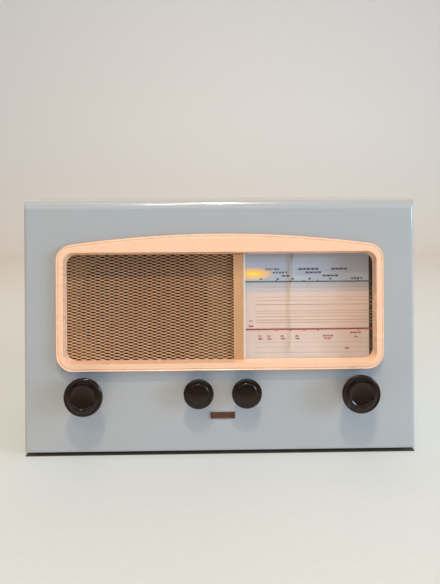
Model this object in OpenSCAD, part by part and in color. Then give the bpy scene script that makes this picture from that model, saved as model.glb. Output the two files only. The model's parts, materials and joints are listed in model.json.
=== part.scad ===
// Mains table radio in a pressed-steel case, about 1950.
// Millimetres. +X to the right of someone facing the dial, +Y to the back, +Z up.
// The origin lies on the table under the middle of the whole object.

/* [Case] */
// Width of the steel case
case_w = 470; // [455:1:560]
// Height of the steel case without its feet
case_h = 304; // [290:1:360]
// Depth of the steel case from front panel to rear edge
case_d = 196; // [190:1:260]
// Thickness of the sheet of case and base plate
sheet_t = 1.2; // [0.8:0.1:2]
// Radius of the rolled brow along the top of the front
brow_r = 14; // [8:0.5:18]
// Radius of the upright front edges
front_edge_r = 4.5; // [3:0.5:8]
// Radius of the two top corners seen from the front
top_corner_r = 6; // [3:0.5:12]
// Radius of the lower front edge and lower corners
lower_edge_r = 2.5; // [2:0.5:4]
// Radius of the rear edges
rear_edge_r = 3; // [2:0.5:5]
// Width of the inward lip at the back and along the bottom
lip_w = 12; // [10:0.5:14]

/* [Feet] */
// Height of the gap under the case
foot_h = 4; // [3.6:0.2:10]
// Diameter of a rubber foot
foot_d = 22; // [18:1:26]
// Gap between a foot and the lip of the case
foot_lip_gap = 1; // [0.6:0.1:4]

/* [Surround] */
// Overall width of the moulded surround
surround_w = 390; // [388:1:400]
// Height of the surround's lower edge above the case bottom
surround_rise = 98; // [96:0.5:101]
// Height of the surround at its middle
surround_h = 162.6; // [160:0.2:170]
// Radius of the arched top edge
arch_r = 1326; // [1200:10:2000]
// Radius of the upper corners
surround_top_r = 16; // [12:1:18]
// Radius of the lower corners
surround_low_r = 21; // [14:1:22]
// How far the surround stands proud of the front panel
surround_proud = 7; // [5:0.5:10]
// Width of the lower step round the outer edge
bead_w = 2.4; // [1.5:0.1:3]
// Depth of the surround's collar behind the front panel
collar_depth = 8; // [8:0.5:10]
// Wall of the collar
collar_t = 3; // [2:0.1:3.2]
// Width of the window through the surround
window_w = 372; // [366:1:373]
// Height of the window
window_h = 127.9; // [124:0.1:129]
// Height of the window's lower edge above the surround's lower edge
window_rise = 9.6; // [9.6:0.1:12]
// Corner radius of the window
window_r = 8; // [6:0.5:10]
// How far the window's roof rises towards the front
roof_rise = 4; // [1:0.2:5]

/* [Grille and divider] */
// Left edge of the divider strip from the middle of the case
divider_x = 16; // [12:0.5:18]
// Width of the divider strip
divider_w = 14; // [12:0.5:16]
// Thickness of the divider strip
divider_t = 3.5; // [2.5:0.5:5]
// Thickness of the expanded-metal sheet
mesh_t = 0.9; // [0.6:0.1:1.2]
// Number of diamond columns
mesh_columns = 24; // [16:1:24]
// Number of diamond rows
mesh_rows = 12; // [8:1:12]
// Width of a strand between two diamonds
strand_w = 2.2; // [1.5:0.1:3]
// Thickness of the baffle board
baffle_t = 3.2; // [2.5:0.1:5]

/* [Dial] */
// Thickness of the dial glass
glass_t = 2.5; // [2:0.1:3]
// Travel of the pointer along the scale
scale_travel = 140; // [125:1:142]
// Pointer position at its left stop, from the middle of the case
scale_start = 38; // [37:0.5:40]
// Pointer position at rest, as a distance from its left stop
pointer_rest = 50; // [20:1:100]
// Width of the pointer blade
needle_w = 3.6; // [1:0.2:5]
// Thickness of the metal dial plate
plate_t = 1.2; // [1:0.1:1.6]
// Depth of the dial plate's face behind the front panel
plate_depth = 17; // [16.8:0.1:18]

/* [Controls] */
// Sideways shift of the row of knobs from the middle of the case
row_shift = 1.8; // [0:0.1:3]
// Distance between the two outer spindles
outer_spacing = 321.2; // [318:0.2:330]
// Distance between the two inner spindles
inner_spacing = 56.4; // [50:0.2:70]
// Height of the spindles above the case bottom
spindle_rise = 74.4; // [72:0.1:74.8]
// Diameter of the spindles
spindle_d = 6.35; // [6:0.05:6.5]
// Radial running clearance of shafts in their bearings
running_gap = 0.05; // [0.02:0.01:0.09]
// Diameter of the large knobs
large_knob_d = 44.8; // [42:0.1:48]
// Height of the large knobs
large_knob_h = 21.7; // [20:0.1:26]
// Diameter of the small knobs
small_knob_d = 35.2; // [32:0.1:40]
// Height of the small knobs
small_knob_h = 16.5; // [16:0.1:22]
// Thickness of the felt washers behind the knobs
felt_t = 1; // [0.6:0.1:2]

/* [Badge] */
// Width of the blank plate
badge_w = 29.5; // [20:0.5:36]
// Height of the blank plate
badge_h = 7.4; // [5:0.2:10]
// Height of the plate's centre above the case bottom
badge_rise = 43; // [30:0.5:48]

/* [Loudspeaker] */
// Height of the loudspeaker's centre above the case bottom
speaker_rise = 172; // [168:1:176]
// Sideways place of the loudspeaker, left of the middle
speaker_left = 94; // [90:1:96]
// Diameter of the round hole in the baffle board
speaker_hole_d = 162; // [158:1:164]
// Outer diameter of the loudspeaker's frame
speaker_d = 182; // [180:1:184]
// Travel of the cone each way
cone_travel = 1; // [0.5:0.1:1]

/* [Chassis] */
// Width of the chassis
chassis_w = 400; // [392:1:404]
// Height of the chassis deck above the base plate
chassis_h = 88; // [87.6:0.2:92]
// Depth of the chassis from front to back
chassis_d = 150; // [148:1:156]
// Distance from the front panel to the chassis front
chassis_depth = 36; // [36:0.5:38]
// Radius of the tuning capacitor's moving plates
rotor_r = 24.5; // [20:0.5:25]
// Height of the tuning capacitor's shaft above the deck
gang_rise = 46; // [44:0.5:50]
// Diameter of a dial pulley over its rims
pulley_d = 14; // [12:0.5:15]
// Diameter of the drive cord
cord_d = 0.8; // [0.6:0.1:1]

/* [Rear] */
// Thickness of the rear cover board
cover_t = 3; // [2:0.2:4]
// Distance of the cover's edge from the case edge
cover_margin = 2; // [1:0.5:3]
// Length of a vent slot
vent_w = 34; // [24:1:36]
// Height of a vent slot
vent_h = 5; // [3:0.5:6]
// Bore radius of the plug sockets
socket_r = 2.05; // [2:0.05:2.2]
// Bore radius of the mains grommet
grommet_r = 4; // [3:0.5:5]

/* [Hidden] */
$fn = 64;
fine = 720;
fit_gap = 0.3;
screw_r = 1.5;
screw_head_r = 3.2;
screw_head_h = 1.8;
screw_hole_r = 1.6;

// Heights
case_z = foot_h;
top_z = case_z + case_h;
floor_z = case_z + sheet_t;
base_z = floor_z + sheet_t;
deck_z = base_z + chassis_h;

// Depths: knobs stand in front of the panel, the cover and its screws behind the case
knob_clear = 0.3;
front_reach = felt_t + knob_clear + large_knob_h;
rear_reach = cover_t + screw_head_h;
front_y = front_reach - (front_reach + case_d + rear_reach) / 2;
back_y = front_y + case_d;
function depth(d) = front_y + d;

// Surround and window
surround_z = case_z + surround_rise;
surround_top_z = surround_z + surround_h;
window_z0 = surround_z + window_rise;
window_z1 = window_z0 + window_h;
collar_w = window_w + 2 * collar_t;
stud_xs = [-120, 0, 120];
stud_low_z = surround_z + 3.2;
stud_high_z = window_z1 + collar_t + 8.5;
stud_r = 1.5;

// Layers behind the surround's collar
mesh_y = depth(collar_depth);
baffle_y = mesh_y + mesh_t;
baffle_back = baffle_y + baffle_t;
glass_back = mesh_y + glass_t;
strap_t = 0.8;
strap_grip = 1.6;
board_x1 = divider_x + 4;
board_x0 = -speaker_left * 2 - 12;
glass_x0 = divider_x + divider_w - 3;
glass_x1 = window_w / 2 + 3.5;
sheet_z0 = window_z0 - 3;
sheet_z1 = window_z1 + 3;

// Loudspeaker
speaker_x = -speaker_left;
speaker_z = case_z + speaker_rise;
speaker_r = speaker_d / 2;
hole_r = speaker_hole_d / 2;
gasket_t = 2;
flange_y = baffle_back + gasket_t;
flange_t = 1.2;
board_studs = [for (sx = [-1, 1], sz = [-1, 1]) [speaker_x + sx * 86, speaker_z + sz * 82]];
board_z0 = speaker_z - 91;
board_z1 = speaker_z + 91;
glass_studs = [for (in = [126, 26], z = [window_z0 - 10.5, window_z1 + 10.5]) [window_w / 2 - in, z]];
nut_t = 2.6;
speaker_bolt_r = 2;
speaker_bolt_pcr = speaker_r - 4;
frame_bottom_y = flange_y + 42;
pole_r = 12;
coil_r = 13.6;
magnet_y = frame_bottom_y + flange_t;
cone_rim_r = hole_r - 7;

// Controls
spindle_r = spindle_d / 2;
spindle_z = case_z + spindle_rise;
volume_x = row_shift - outer_spacing / 2;
tuning_x = row_shift + outer_spacing / 2;
tone_x = row_shift - inner_spacing / 2;
wave_x = row_shift + inner_spacing / 2;
control_xs = [volume_x, tone_x, wave_x, tuning_x];
apron_y = depth(chassis_depth);
bush_r = 4.75;
control_nut_t = 3;
spindle_end = apron_y + 10;
knob_y = front_y - felt_t - knob_clear;
felt_hole_r = spindle_r + 1;

// Drive: the pointer's travel is half a turn of the drum
cord_r = cord_d / 2;
cord_gap = 0.3;
drum_cord_r = scale_travel / PI;
drum_groove_r = drum_cord_r - cord_r - cord_gap;
drum_r = drum_groove_r + 3.4;
drum_w = 8;
cord_y = depth(27);
cord_swing = 1.5;
spindle_cord_r = spindle_r + cord_gap + cord_r;
pulley_r = pulley_d / 2;
pulley_groove_r = pulley_r - 1.7;
pulley_cord_r = pulley_groove_r + cord_r + cord_gap;
pulley_w = 5;
pulley_z = window_z1 + 4.5;
pulley_left_x = scale_start - 16;
pulley_right_x = scale_start + scale_travel + 16;
pulley_y = cord_y + cord_swing;
pin_r = 1.5;
top_cord_z = pulley_z + pulley_cord_r;
gang_x = scale_start + scale_travel / 2;
gang_z = deck_z + gang_rise;
gang_y = depth(44);
gang_len = 56;

// Dial plate
plate_y = depth(plate_depth);
plate_back = plate_y + plate_t;
plate_x0 = pulley_left_x - 12;
plate_x1 = pulley_right_x + 12;
plate_z0 = window_z0 - 8;
plate_z1 = pulley_z + 10;
needle_t = 0.8;
needle_y = plate_y - 2.4;
needle_x = scale_start + pointer_rest;
needle_z0 = window_z0 + 7;
rail_r = 1.5;
rail_y = plate_back + 3;
rail_z = plate_z1 + 8;
carriage_w = 12;
lamp_x = pulley_left_x - 2;
lamp_z = window_z1 - 25.5;
lamp_r = 5;

// Chassis
chassis_x = chassis_w / 2;
chassis_back = apron_y + chassis_d;
chassis_t = 1.2;
deck_under = deck_z - chassis_t;
foot_lip = 14;
valve_places = [[165, 116], [74, 150], [0, 150], [-45, 150], [-90, 150]];
valve_r = 11;
valve_h = 62;
holder_h = 8;
can_places = [[120, 150], [37, 150]];
can_w = 28;
can_h = 72;
smoothing_place = [-20, 100];
smoothing_r = 17;
smoothing_h = 60;
power_x0 = -192;
power_x1 = -116;
power_y0 = depth(102);
power_y1 = depth(168);
output_x = -175;
output_y = depth(72);
socket_x = 122;
socket_z = base_z + 46;
socket_pitch = 15;
socket_count = 4;
mains_x = -168;
mains_z = base_z + 46;

// Base screws: feet, chassis and lip all use the same screw
foot_inset = lip_w + foot_lip_gap + foot_d / 2;
foot_places = [for (sx = [-1, 1], y = [front_y + foot_inset, back_y - foot_inset])
    [sx * (case_w / 2 - foot_inset), y]];
chassis_places = [for (sx = [-1, 1], y = [apron_y + 20, chassis_back - 40])
    [sx * (chassis_x - 8), y]];
lip_places = [for (sx = [-1, 1], y = [front_y + 60, back_y - 60])
    [sx * (case_w / 2 - sheet_t - lip_w / 2), y]];
base_screw_h = 8;

// Rear cover
cover_x = case_w / 2 - cover_margin;
cover_z0 = case_z + 3;
cover_z1 = top_z - cover_margin;
cover_screw_x = case_w / 2 - lip_w / 2 - 1;
cover_screws = [for (sx = [-1, 1], k = [0.12, 0.5, 0.88]) [sx * cover_screw_x, case_z + k * case_h]];
cover_low_screws = [for (sx = [-1, 1]) [sx * case_w / 4, base_z + 8]];
rear_flange_h = 15;

// Placing and outline helpers

// Extrudes a front outline (x, z) from y0 back to y1
module along_y(y0, y1) {
    translate([0, y1, 0])
        rotate([90, 0, 0])
            linear_extrude(y1 - y0) children();
}

// Extrudes a side outline (y, z) from x0 to x1
module along_x(x0, x1) {
    translate([x0, 0, 0])
        rotate([90, 0, 90])
            linear_extrude(x1 - x0) children();
}

// A block between two corners
module block(low, high) {
    translate(low) cube(high - low);
}

// A round bar along Y
module bar_y(r, y0, y1, x, z) {
    translate([x, y1, z])
        rotate([90, 0, 0])
            cylinder(r = r, h = y1 - y0);
}

// A round bar along X
module bar_x(r, x0, x1, y, z) {
    translate([x0, y, z])
        rotate([0, 90, 0])
            cylinder(r = r, h = x1 - x0);
}

// A round bar upwards
module post(r, z0, z1, x, y) {
    translate([x, y, z0]) cylinder(r = r, h = z1 - z0);
}

// Turns a profile (radius, forward height) about an axis along -Y that starts at y
module turned_forward(x, y, z) {
    translate([x, y, z])
        rotate([90, 0, 0])
            rotate_extrude() children();
}

// Turns a profile (radius, backward height) about an axis along +Y that starts at y
module turned_back(x, y, z) {
    translate([x, y, z])
        rotate([-90, 0, 0])
            rotate_extrude() children();
}

// A rectangle with its own radius at each pair of corners
module rounded_box_2d(x0, x1, z0, z1, r_low, r_high) {
    for (x = [x0 + r_low, x1 - r_low]) translate([x, z0 + r_low]) circle(r_low);
    for (x = [x0 + r_high, x1 - r_high]) translate([x, z1 - r_high]) circle(r_high);
    translate([x0 + r_low, z0]) square([x1 - x0 - 2 * r_low, r_low + 0.01]);
    translate([x0 + r_high, z1 - r_high - 0.01]) square([x1 - x0 - 2 * r_high, r_high + 0.01]);
    translate([x0, z0 + r_low]) square([x1 - x0, z1 - z0 - r_low - r_high]);
}

// Outline of the surround, drawn in by an inset: an arc between two rounded corners
module arched_2d(inset) {
    half = surround_w / 2 - inset;
    arc = arch_r - inset;
    r_top = surround_top_r - inset;
    r_low = surround_low_r - inset;
    z0 = surround_z + inset;
    arc_z = surround_top_z - arch_r;
    corner_x = half - r_top;
    corner_z = arc_z + sqrt(pow(arc - r_top, 2) - pow(corner_x, 2));
    touch_x = corner_x * arc / (arc - r_top);
    intersection() {
        translate([0, arc_z]) circle(arc, $fn = fine);
        translate([-touch_x, z0 + r_low]) square([2 * touch_x, surround_h]);
    }
    for (sx = [-1, 1]) {
        translate([sx * corner_x, corner_z]) circle(r_top);
        translate([sx * (half - r_low), z0 + r_low]) circle(r_low);
    }
    translate([-half, z0 + r_low]) square([2 * half, corner_z - z0 - r_low]);
    translate([r_low - half, z0]) square([2 * (half - r_low), r_low + 0.01]);
}

// The window or its collar, grown by a margin
module window_2d(grow) {
    rounded_box_2d(-window_w / 2 - grow, window_w / 2 + grow, window_z0 - grow, window_z1 + grow,
        window_r + grow, window_r + grow);
}

// Case

// Front outline, side outline and plan of the case, drawn in by an inset
module case_volume(inset) {
    x = case_w / 2 - inset;
    intersection() {
        along_y(front_y - 1, back_y + 1)
            rounded_box_2d(-x, x, case_z + inset, top_z - inset,
                lower_edge_r - inset, top_corner_r - inset);
        along_x(-case_w, case_w)
            case_side_2d(inset);
        linear_extrude(top_z + 1)
            rounded_plan_2d(inset);
    }
}

module case_side_2d(inset) {
    y0 = front_y + inset;
    y1 = back_y - inset;
    z0 = case_z + inset;
    z1 = top_z - inset;
    brow = brow_r - inset;
    low = lower_edge_r - inset;
    rear = rear_edge_r - inset;
    translate([y0 + brow, z1 - brow]) circle(brow);
    translate([y1 - rear, z1 - rear]) circle(rear);
    translate([y0 + low, z0 + low]) circle(low);
    translate([y0 + low, z0]) square([y1 - y0 - low, low + 0.01]);
    translate([y0, z0 + low]) square([y1 - y0, z1 - z0 - low - brow]);
    translate([y0 + brow, z1 - brow - 0.01]) square([y1 - y0 - brow - rear, brow + 0.01]);
    translate([y1 - rear - 1, z1 - brow - 0.01]) square([rear + 1, brow - rear + 0.01]);
}

module rounded_plan_2d(inset) {
    x = case_w / 2 - inset;
    front = front_edge_r - inset;
    rounded_box_2d(-x, x, front_y + inset, back_y - inset, front, rear_edge_r - inset);
}

module case_shell() {
    color([0.66, 0.69, 0.71])
        difference() {
            union() {
                difference() {
                    case_volume(0);
                    case_volume(sheet_t);
                }
                for (p = concat(board_studs, glass_studs)) trim_stud(p);
            }
            // open bottom between the lips
            block([lip_w - case_w / 2, front_y + lip_w, case_z - 1],
                [case_w / 2 - lip_w, back_y + 1, floor_z + 0.01]);
            // open back between the lips
            block([lip_w - case_w / 2, back_y - sheet_t - 0.01, case_z - 1],
                [case_w / 2 - lip_w, back_y + 1, top_z - lip_w]);
            // hole for the collar of the surround
            along_y(front_y - 1, front_y + sheet_t + 0.01) window_2d(collar_t + fit_gap);
            for (x = stud_xs, z = [stud_low_z, stud_high_z])
                bar_y(stud_r + 0.1, front_y - 1, front_y + sheet_t + 1, x, z);
            for (x = control_xs)
                bar_y(spindle_r + 1.6, front_y - 1, front_y + sheet_t + 1, x, spindle_z);
            for (sx = [-1, 1])
                bar_y(1.1, front_y - 1, front_y + sheet_t + 1, row_shift + sx * badge_w / 3,
                    case_z + badge_rise);
            for (p = cover_screws)
                bar_y(screw_hole_r, back_y - sheet_t - 1, back_y + 1, p[0], p[1]);
            for (p = lip_places) post(screw_hole_r, case_z - 1, floor_z + 1, p[0], p[1]);
        }
}

// A stud welded to the inside of the front panel: it ends behind its nut
module trim_stud(p) {
    at_board = p[0] < divider_x;
    end_y = at_board ? baffle_back + nut_t + 0.6 : glass_back + strap_t + nut_t + 0.2;
    bar_y(stud_r, front_y + sheet_t - 0.2, end_y, p[0], p[1]);
}

module base_plate() {
    x = case_w / 2 - max(lower_edge_r, rear_edge_r) - 0.1;
    x_back = case_w / 2 - lip_w - fit_gap;
    y0 = front_y + sheet_t + 1.4;
    y_lip = back_y - sheet_t - 0.1;
    color([0.45, 0.46, 0.47])
        difference() {
            union() {
                block([-x, y0, floor_z], [x, y_lip, base_z]);
                block([-x_back, y_lip - 1, floor_z], [x_back, back_y, base_z]);
                block([-x_back, back_y - sheet_t, floor_z], [x_back, back_y, base_z + rear_flange_h]);
                for (sx = [-1, 1])
                    block([sx > 0 ? x - sheet_t : -x, y0 + 6, floor_z],
                        [sx > 0 ? x : sheet_t - x, y_lip - 6, base_z + 12]);
            }
            for (p = concat(foot_places, chassis_places, lip_places))
                post(screw_hole_r, floor_z - 1, base_z + 1, p[0], p[1]);
            for (p = cover_low_screws)
                bar_y(screw_hole_r, back_y - sheet_t - 1, back_y + 1, p[0], p[1]);
            for (i = [-4:4], k = [0:2])
                vent_slot_up(i * 38, depth(70 + k * 34));
        }
}

// A vent slot with round ends through the base plate, along Y
module vent_slot_up(x, y) {
    slot_len = 22;
    translate([0, 0, floor_z - 1])
        linear_extrude(sheet_t + 2) {
            for (k = [0, 1]) translate([x, y + k * slot_len]) circle(2.5);
            translate([x - 2.5, y]) square([5, slot_len]);
        }
}

module rubber_feet() {
    color([0.07, 0.07, 0.07])
        for (p = foot_places)
            difference() {
                post(foot_d / 2, 0, floor_z, p[0], p[1]);
                post(screw_hole_r, -1, floor_z + 1, p[0], p[1]);
                post(screw_head_r + 0.6, -1, foot_screw_z, p[0], p[1]);
            }
}
foot_screw_z = floor_z - 2;

module base_screws() {
    color([0.75, 0.74, 0.7]) {
        for (p = foot_places) base_screw(p, foot_screw_z);
        for (p = chassis_places) base_screw(p, floor_z);
        for (p = lip_places) base_screw(p, case_z);
    }
}

// A pan-head screw pointing up, its head just under z
module base_screw(p, z) {
    post(screw_head_r, z - screw_head_h, z, p[0], p[1]);
    post(screw_r, z - 0.5, z + base_screw_h, p[0], p[1]);
}

module rear_cover() {
    color([0.36, 0.25, 0.16])
        difference() {
            along_y(back_y, back_y + cover_t) rounded_box_2d(-cover_x, cover_x, cover_z0, cover_z1, 3, 5);
            for (p = concat(cover_screws, cover_low_screws))
                bar_y(screw_hole_r, back_y - 1, back_y + cover_t + 1, p[0], p[1]);
            for (i = [-4:4], k = [0:6]) vent_slot_back(i * 44, top_z - 50 - k * 18);
            // window of the socket strip
            along_y(back_y - 1, back_y + cover_t + 1)
                rounded_box_2d(socket_x - 36, socket_x + 36, socket_z - 13, socket_z + 13, 3, 3);
            bar_y(grommet_r + 9, back_y - 1, back_y + cover_t + 1, mains_x, mains_z);
        }
}

// A vent slot with round ends through the rear cover, along X
module vent_slot_back(x, z) {
    r = vent_h / 2;
    along_y(back_y - 1, back_y + cover_t + 1) {
        for (sx = [-1, 1]) translate([x + sx * (vent_w / 2 - r), z]) circle(r);
        translate([x - vent_w / 2 + r, z - r]) square([vent_w - vent_h, vent_h]);
    }
}

module rear_cover_screws() {
    color([0.75, 0.74, 0.7])
        for (p = concat(cover_screws, cover_low_screws)) {
            bar_y(screw_head_r, back_y + cover_t, back_y + cover_t + screw_head_h, p[0], p[1]);
            bar_y(screw_r, back_y - 6, back_y + cover_t + 0.5, p[0], p[1]);
        }
}

// Surround and what it frames

module surround() {
    color([0.95, 0.79, 0.66])
        difference() {
            union() {
                along_y(front_y - surround_proud * 0.6, front_y) arched_2d(0);
                along_y(front_y - surround_proud * 0.85, front_y) arched_2d(bead_w * 0.5);
                along_y(front_y - surround_proud, front_y) arched_2d(bead_w);
                along_y(front_y - 0.01, mesh_y) window_2d(collar_t);
                for (x = stud_xs, z = [stud_low_z, stud_high_z])
                    bar_y(stud_r, front_y - 1, front_y + 6, x, z);
            }
            along_y(front_y - surround_proud - 1, mesh_y + 1) window_2d(0);
            window_roof();
        }
}

// The window's roof rises towards the front: the same opening turned up about its lower back edge
module window_roof() {
    reach = mesh_y - front_y + surround_proud;
    angle = atan(roof_rise / reach);
    turned_h = window_h * cos(angle);
    half = window_w / 2 - 0.2;
    run = (reach + 1 + window_h * sin(angle)) / cos(angle);
    translate([0, mesh_y, window_z0])
        rotate([-angle, 0, 0])
            along_y(-run, 0)
                rounded_box_2d(-half, half, 2, turned_h, window_r, window_r);
}

module surround_clips() {
    color([0.55, 0.56, 0.58])
        for (x = stud_xs, z = [stud_low_z, stud_high_z])
            difference() {
                bar_y(2.8, front_y + sheet_t, front_y + sheet_t + 0.6, x, z);
                bar_y(stud_r, front_y, front_y + 3, x, z);
            }
}

module divider_strip() {
    color([0.75, 0.58, 0.44])
        difference() {
            block([divider_x, mesh_y - divider_t, window_z0], [divider_x + divider_w, mesh_y, window_z1]);
            // stepped right-hand edge
            block([divider_x + divider_w - 2.5, mesh_y - divider_t - 1, window_z0 - 1],
                [divider_x + divider_w + 1, mesh_y - divider_t + 1.2, window_z1 + 1]);
        }
}

module grille_mesh() {
    x0 = -window_w / 2 - 3.5;
    margin = 5;
    pitch_x = (board_x1 - x0 - 2 * margin) / mesh_columns;
    pitch_z = (sheet_z1 - sheet_z0 - 2 * margin) / mesh_rows;
    half_x = pitch_x - strand_w;
    half_z = pitch_z - strand_w;
    color([0.72, 0.55, 0.38])
        along_y(mesh_y, baffle_y)
            difference() {
                translate([x0, sheet_z0]) square([board_x1 - x0, sheet_z1 - sheet_z0]);
                for (i = [0:mesh_columns - 1], k = [0:mesh_rows - 1])
                    if ((i + k) % 2 == 0)
                        translate([x0 + margin + (i + 0.5) * pitch_x, sheet_z0 + margin + (k + 0.5) * pitch_z])
                            polygon([[-half_x, 0], [0, -half_z], [half_x, 0], [0, half_z]]);
            }
}

module baffle_board() {
    color([0.35, 0.3, 0.22])
        difference() {
            block([board_x0, baffle_y, board_z0], [board_x1, baffle_back, board_z1]);
            bar_y(hole_r, baffle_y - 1, baffle_back + 1, speaker_x, speaker_z);
            for (p = board_studs) bar_y(stud_r + 0.1, baffle_y - 1, baffle_back + 1, p[0], p[1]);
            for (a = [45:90:315]) {
                x = speaker_x + speaker_bolt_pcr * cos(a);
                z = speaker_z + speaker_bolt_pcr * sin(a);
                bar_y(speaker_bolt_r + 0.1, baffle_y - 1, baffle_back + 1, x, z);
                bar_y(speaker_bolt_r * 2 + 0.1, baffle_y - 1, baffle_y + 1.6, x, z);
            }
        }
}

module dial_glass() {
    color([0.85, 0.8, 0.74, 0.35])
        block([glass_x0, mesh_y, sheet_z0], [glass_x1, glass_back, sheet_z1]);
}

// Spring straps that hold the glass against the collar
module trim_straps() {
    color([0.6, 0.6, 0.58])
        for (p = glass_studs) {
            below = p[1] < window_z0;
            edge = below ? sheet_z0 + strap_grip : sheet_z1 - strap_grip;
            difference() {
                block([p[0] - 6, glass_back, below ? p[1] - 4 : edge],
                    [p[0] + 6, glass_back + strap_t, below ? edge : p[1] + 4]);
                bar_y(stud_r + 0.1, glass_back - 1, glass_back + 3, p[0], p[1]);
            }
        }
}

module trim_nuts() {
    color([0.75, 0.74, 0.7]) {
        for (p = board_studs) hex_nut(p, baffle_back);
        for (p = glass_studs) hex_nut(p, glass_back + strap_t);
    }
}

module hex_nut(p, y) {
    difference() {
        translate([p[0], y + nut_t, p[1]]) rotate([90, 0, 0]) cylinder(r = 3.2, h = nut_t, $fn = 6);
        bar_y(stud_r, y - 1, y + nut_t + 1, p[0], p[1]);
    }
}

module blank_badge() {
    z = case_z + badge_rise;
    color([0.5, 0.34, 0.24]) {
        along_y(front_y - 1.2, front_y)
            rounded_box_2d(row_shift - badge_w / 2, row_shift + badge_w / 2,
                z - badge_h / 2, z + badge_h / 2, 1, 1);
        for (sx = [-1, 1]) bar_y(1, front_y - 0.5, front_y + 4, row_shift + sx * badge_w / 3, z);
    }
}

module knob_felts() {
    color([0.2, 0.18, 0.16])
        for (x = control_xs)
            difference() {
                bar_y(10, front_y - felt_t, front_y, x, spindle_z);
                bar_y(felt_hole_r, front_y - felt_t - 1, front_y + 1, x, spindle_z);
            }
}

// Loudspeaker

module speaker_frame() {
    wall = 1.2;
    rim_r = hole_r - 0.5;
    low_r = rim_r - 42;
    spoke_gap = 40;
    window_from = low_r - 10.5;
    run = frame_bottom_y - flange_y;
    color([0.3, 0.31, 0.32])
        difference() {
            turned_back(speaker_x, flange_y, speaker_z)
                polygon([[rim_r, 0], [speaker_r, 0], [speaker_r, flange_t], [rim_r + wall, flange_t],
                    [low_r + wall, run], [low_r + wall, run + flange_t], [coil_r + 6, run + flange_t],
                    [coil_r + 6, run], [low_r, run], [rim_r, flange_t]]);
            for (a = [45:90:315])
                bar_y(speaker_bolt_r + 0.1, flange_y - 1, flange_y + 4,
                    speaker_x + speaker_bolt_pcr * cos(a), speaker_z + speaker_bolt_pcr * sin(a));
            // open sides of the basket
            for (a = [0:90:270])
                translate([speaker_x, 0, speaker_z])
                    rotate([0, a, 0])
                        block([window_from, flange_y + 8, -spoke_gap / 2],
                            [speaker_r + 9, frame_bottom_y - 6, spoke_gap / 2]);
        }
}

module speaker_magnet() {
    pot_r = 30;
    pot_wall = 4;
    pot_len = 31;
    gap_r = coil_r + 0.6;
    color([0.55, 0.56, 0.57])
        turned_back(speaker_x, magnet_y, speaker_z)
            union() {
                translate([gap_r, 0]) square([pot_r + 2 - gap_r, pot_wall + 0.8]);
                translate([pot_r - pot_wall, pot_wall]) square([pot_wall, pot_len - pot_wall]);
                translate([0, pot_len - pot_wall]) square([pot_r, pot_wall]);
                square([pole_r, pot_len - pot_wall / 2]);
            }
}

module speaker_gasket() {
    color([0.3, 0.26, 0.22])
        difference() {
            bar_y(speaker_r, baffle_back, flange_y, speaker_x, speaker_z);
            bar_y(hole_r, baffle_back - 1, flange_y + 1, speaker_x, speaker_z);
            for (a = [45:90:315])
                bar_y(speaker_bolt_r + 0.1, baffle_back - 1, flange_y + 1,
                    speaker_x + speaker_bolt_pcr * cos(a), speaker_z + speaker_bolt_pcr * sin(a));
        }
}

module speaker_bolts() {
    color([0.75, 0.74, 0.7])
        for (a = [45:90:315]) {
            x = speaker_x + speaker_bolt_pcr * cos(a);
            z = speaker_z + speaker_bolt_pcr * sin(a);
            bar_y(speaker_bolt_r * 2, baffle_y, baffle_y + 1.6, x, z);
            bar_y(speaker_bolt_r, baffle_y + 1, flange_y + flange_t + 4, x, z);
            translate([x, flange_y + flange_t + 3, z])
                rotate([90, 0, 0]) cylinder(r = 3.6, h = 3, $fn = 6);
        }
}

// Paper cone with its dust cap, open to the front
module speaker_cone() {
    wall = 0.8;
    rim_y = 2.4;
    throat_y = 31;
    color([0.16, 0.14, 0.13])
        turned_back(speaker_x, flange_y, speaker_z)
            union() {
                polygon([[cone_rim_r, rim_y], [cone_rim_r, rim_y + wall], [coil_r, throat_y + wall],
                    [coil_r, throat_y - wall]]);
                // domed cap over the voice coil
                intersection() {
                    difference() {
                        translate([0, throat_y + 12]) circle(18.5);
                        translate([0, throat_y + 12]) circle(18.5 - wall);
                    }
                    translate([0, throat_y - 8]) square([coil_r + 0.3, 8 + wall]);
                }
            }
}

module voice_coil() {
    color([0.72, 0.4, 0.2])
        turned_back(speaker_x, flange_y + 31.8, speaker_z)
            translate([pole_r + 0.5, 0]) square([coil_r - pole_r - 0.5, 15.6]);
}

// Soft corrugated ring between the cone and the loudspeaker's frame
module cone_surround() {
    outer = hole_r - 0.8;
    step = (outer - cone_rim_r) / 3;
    color([0.2, 0.17, 0.15])
        turned_back(speaker_x, flange_y, speaker_z)
            polygon([[cone_rim_r, 2.4], [cone_rim_r + step, 0.8], [cone_rim_r + 2 * step, 1.8],
                [outer, 0.2], [outer, 1], [cone_rim_r + 2 * step, 2.6],
                [cone_rim_r + step, 1.6], [cone_rim_r, 3.2]]);
}

module output_transformer() {
    w = 44;
    h = 38;
    core = 16;
    color([0.34, 0.3, 0.27])
        difference() {
            union() {
                block([output_x - w / 2, output_y - core / 2, deck_z],
                    [output_x + w / 2, output_y + core / 2, deck_z + h]);
                block([output_x - w / 4, output_y - core, deck_z + 6],
                    [output_x + w / 4, output_y + core, deck_z + h - 6]);
            }
            for (sx = [-1, 1])
                block([output_x + sx * w * 0.31 - 2, output_y - core, deck_z + 7],
                    [output_x + sx * w * 0.31 + 2, output_y + core, deck_z + h - 7]);
        }
}

// Dial and drive

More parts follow.
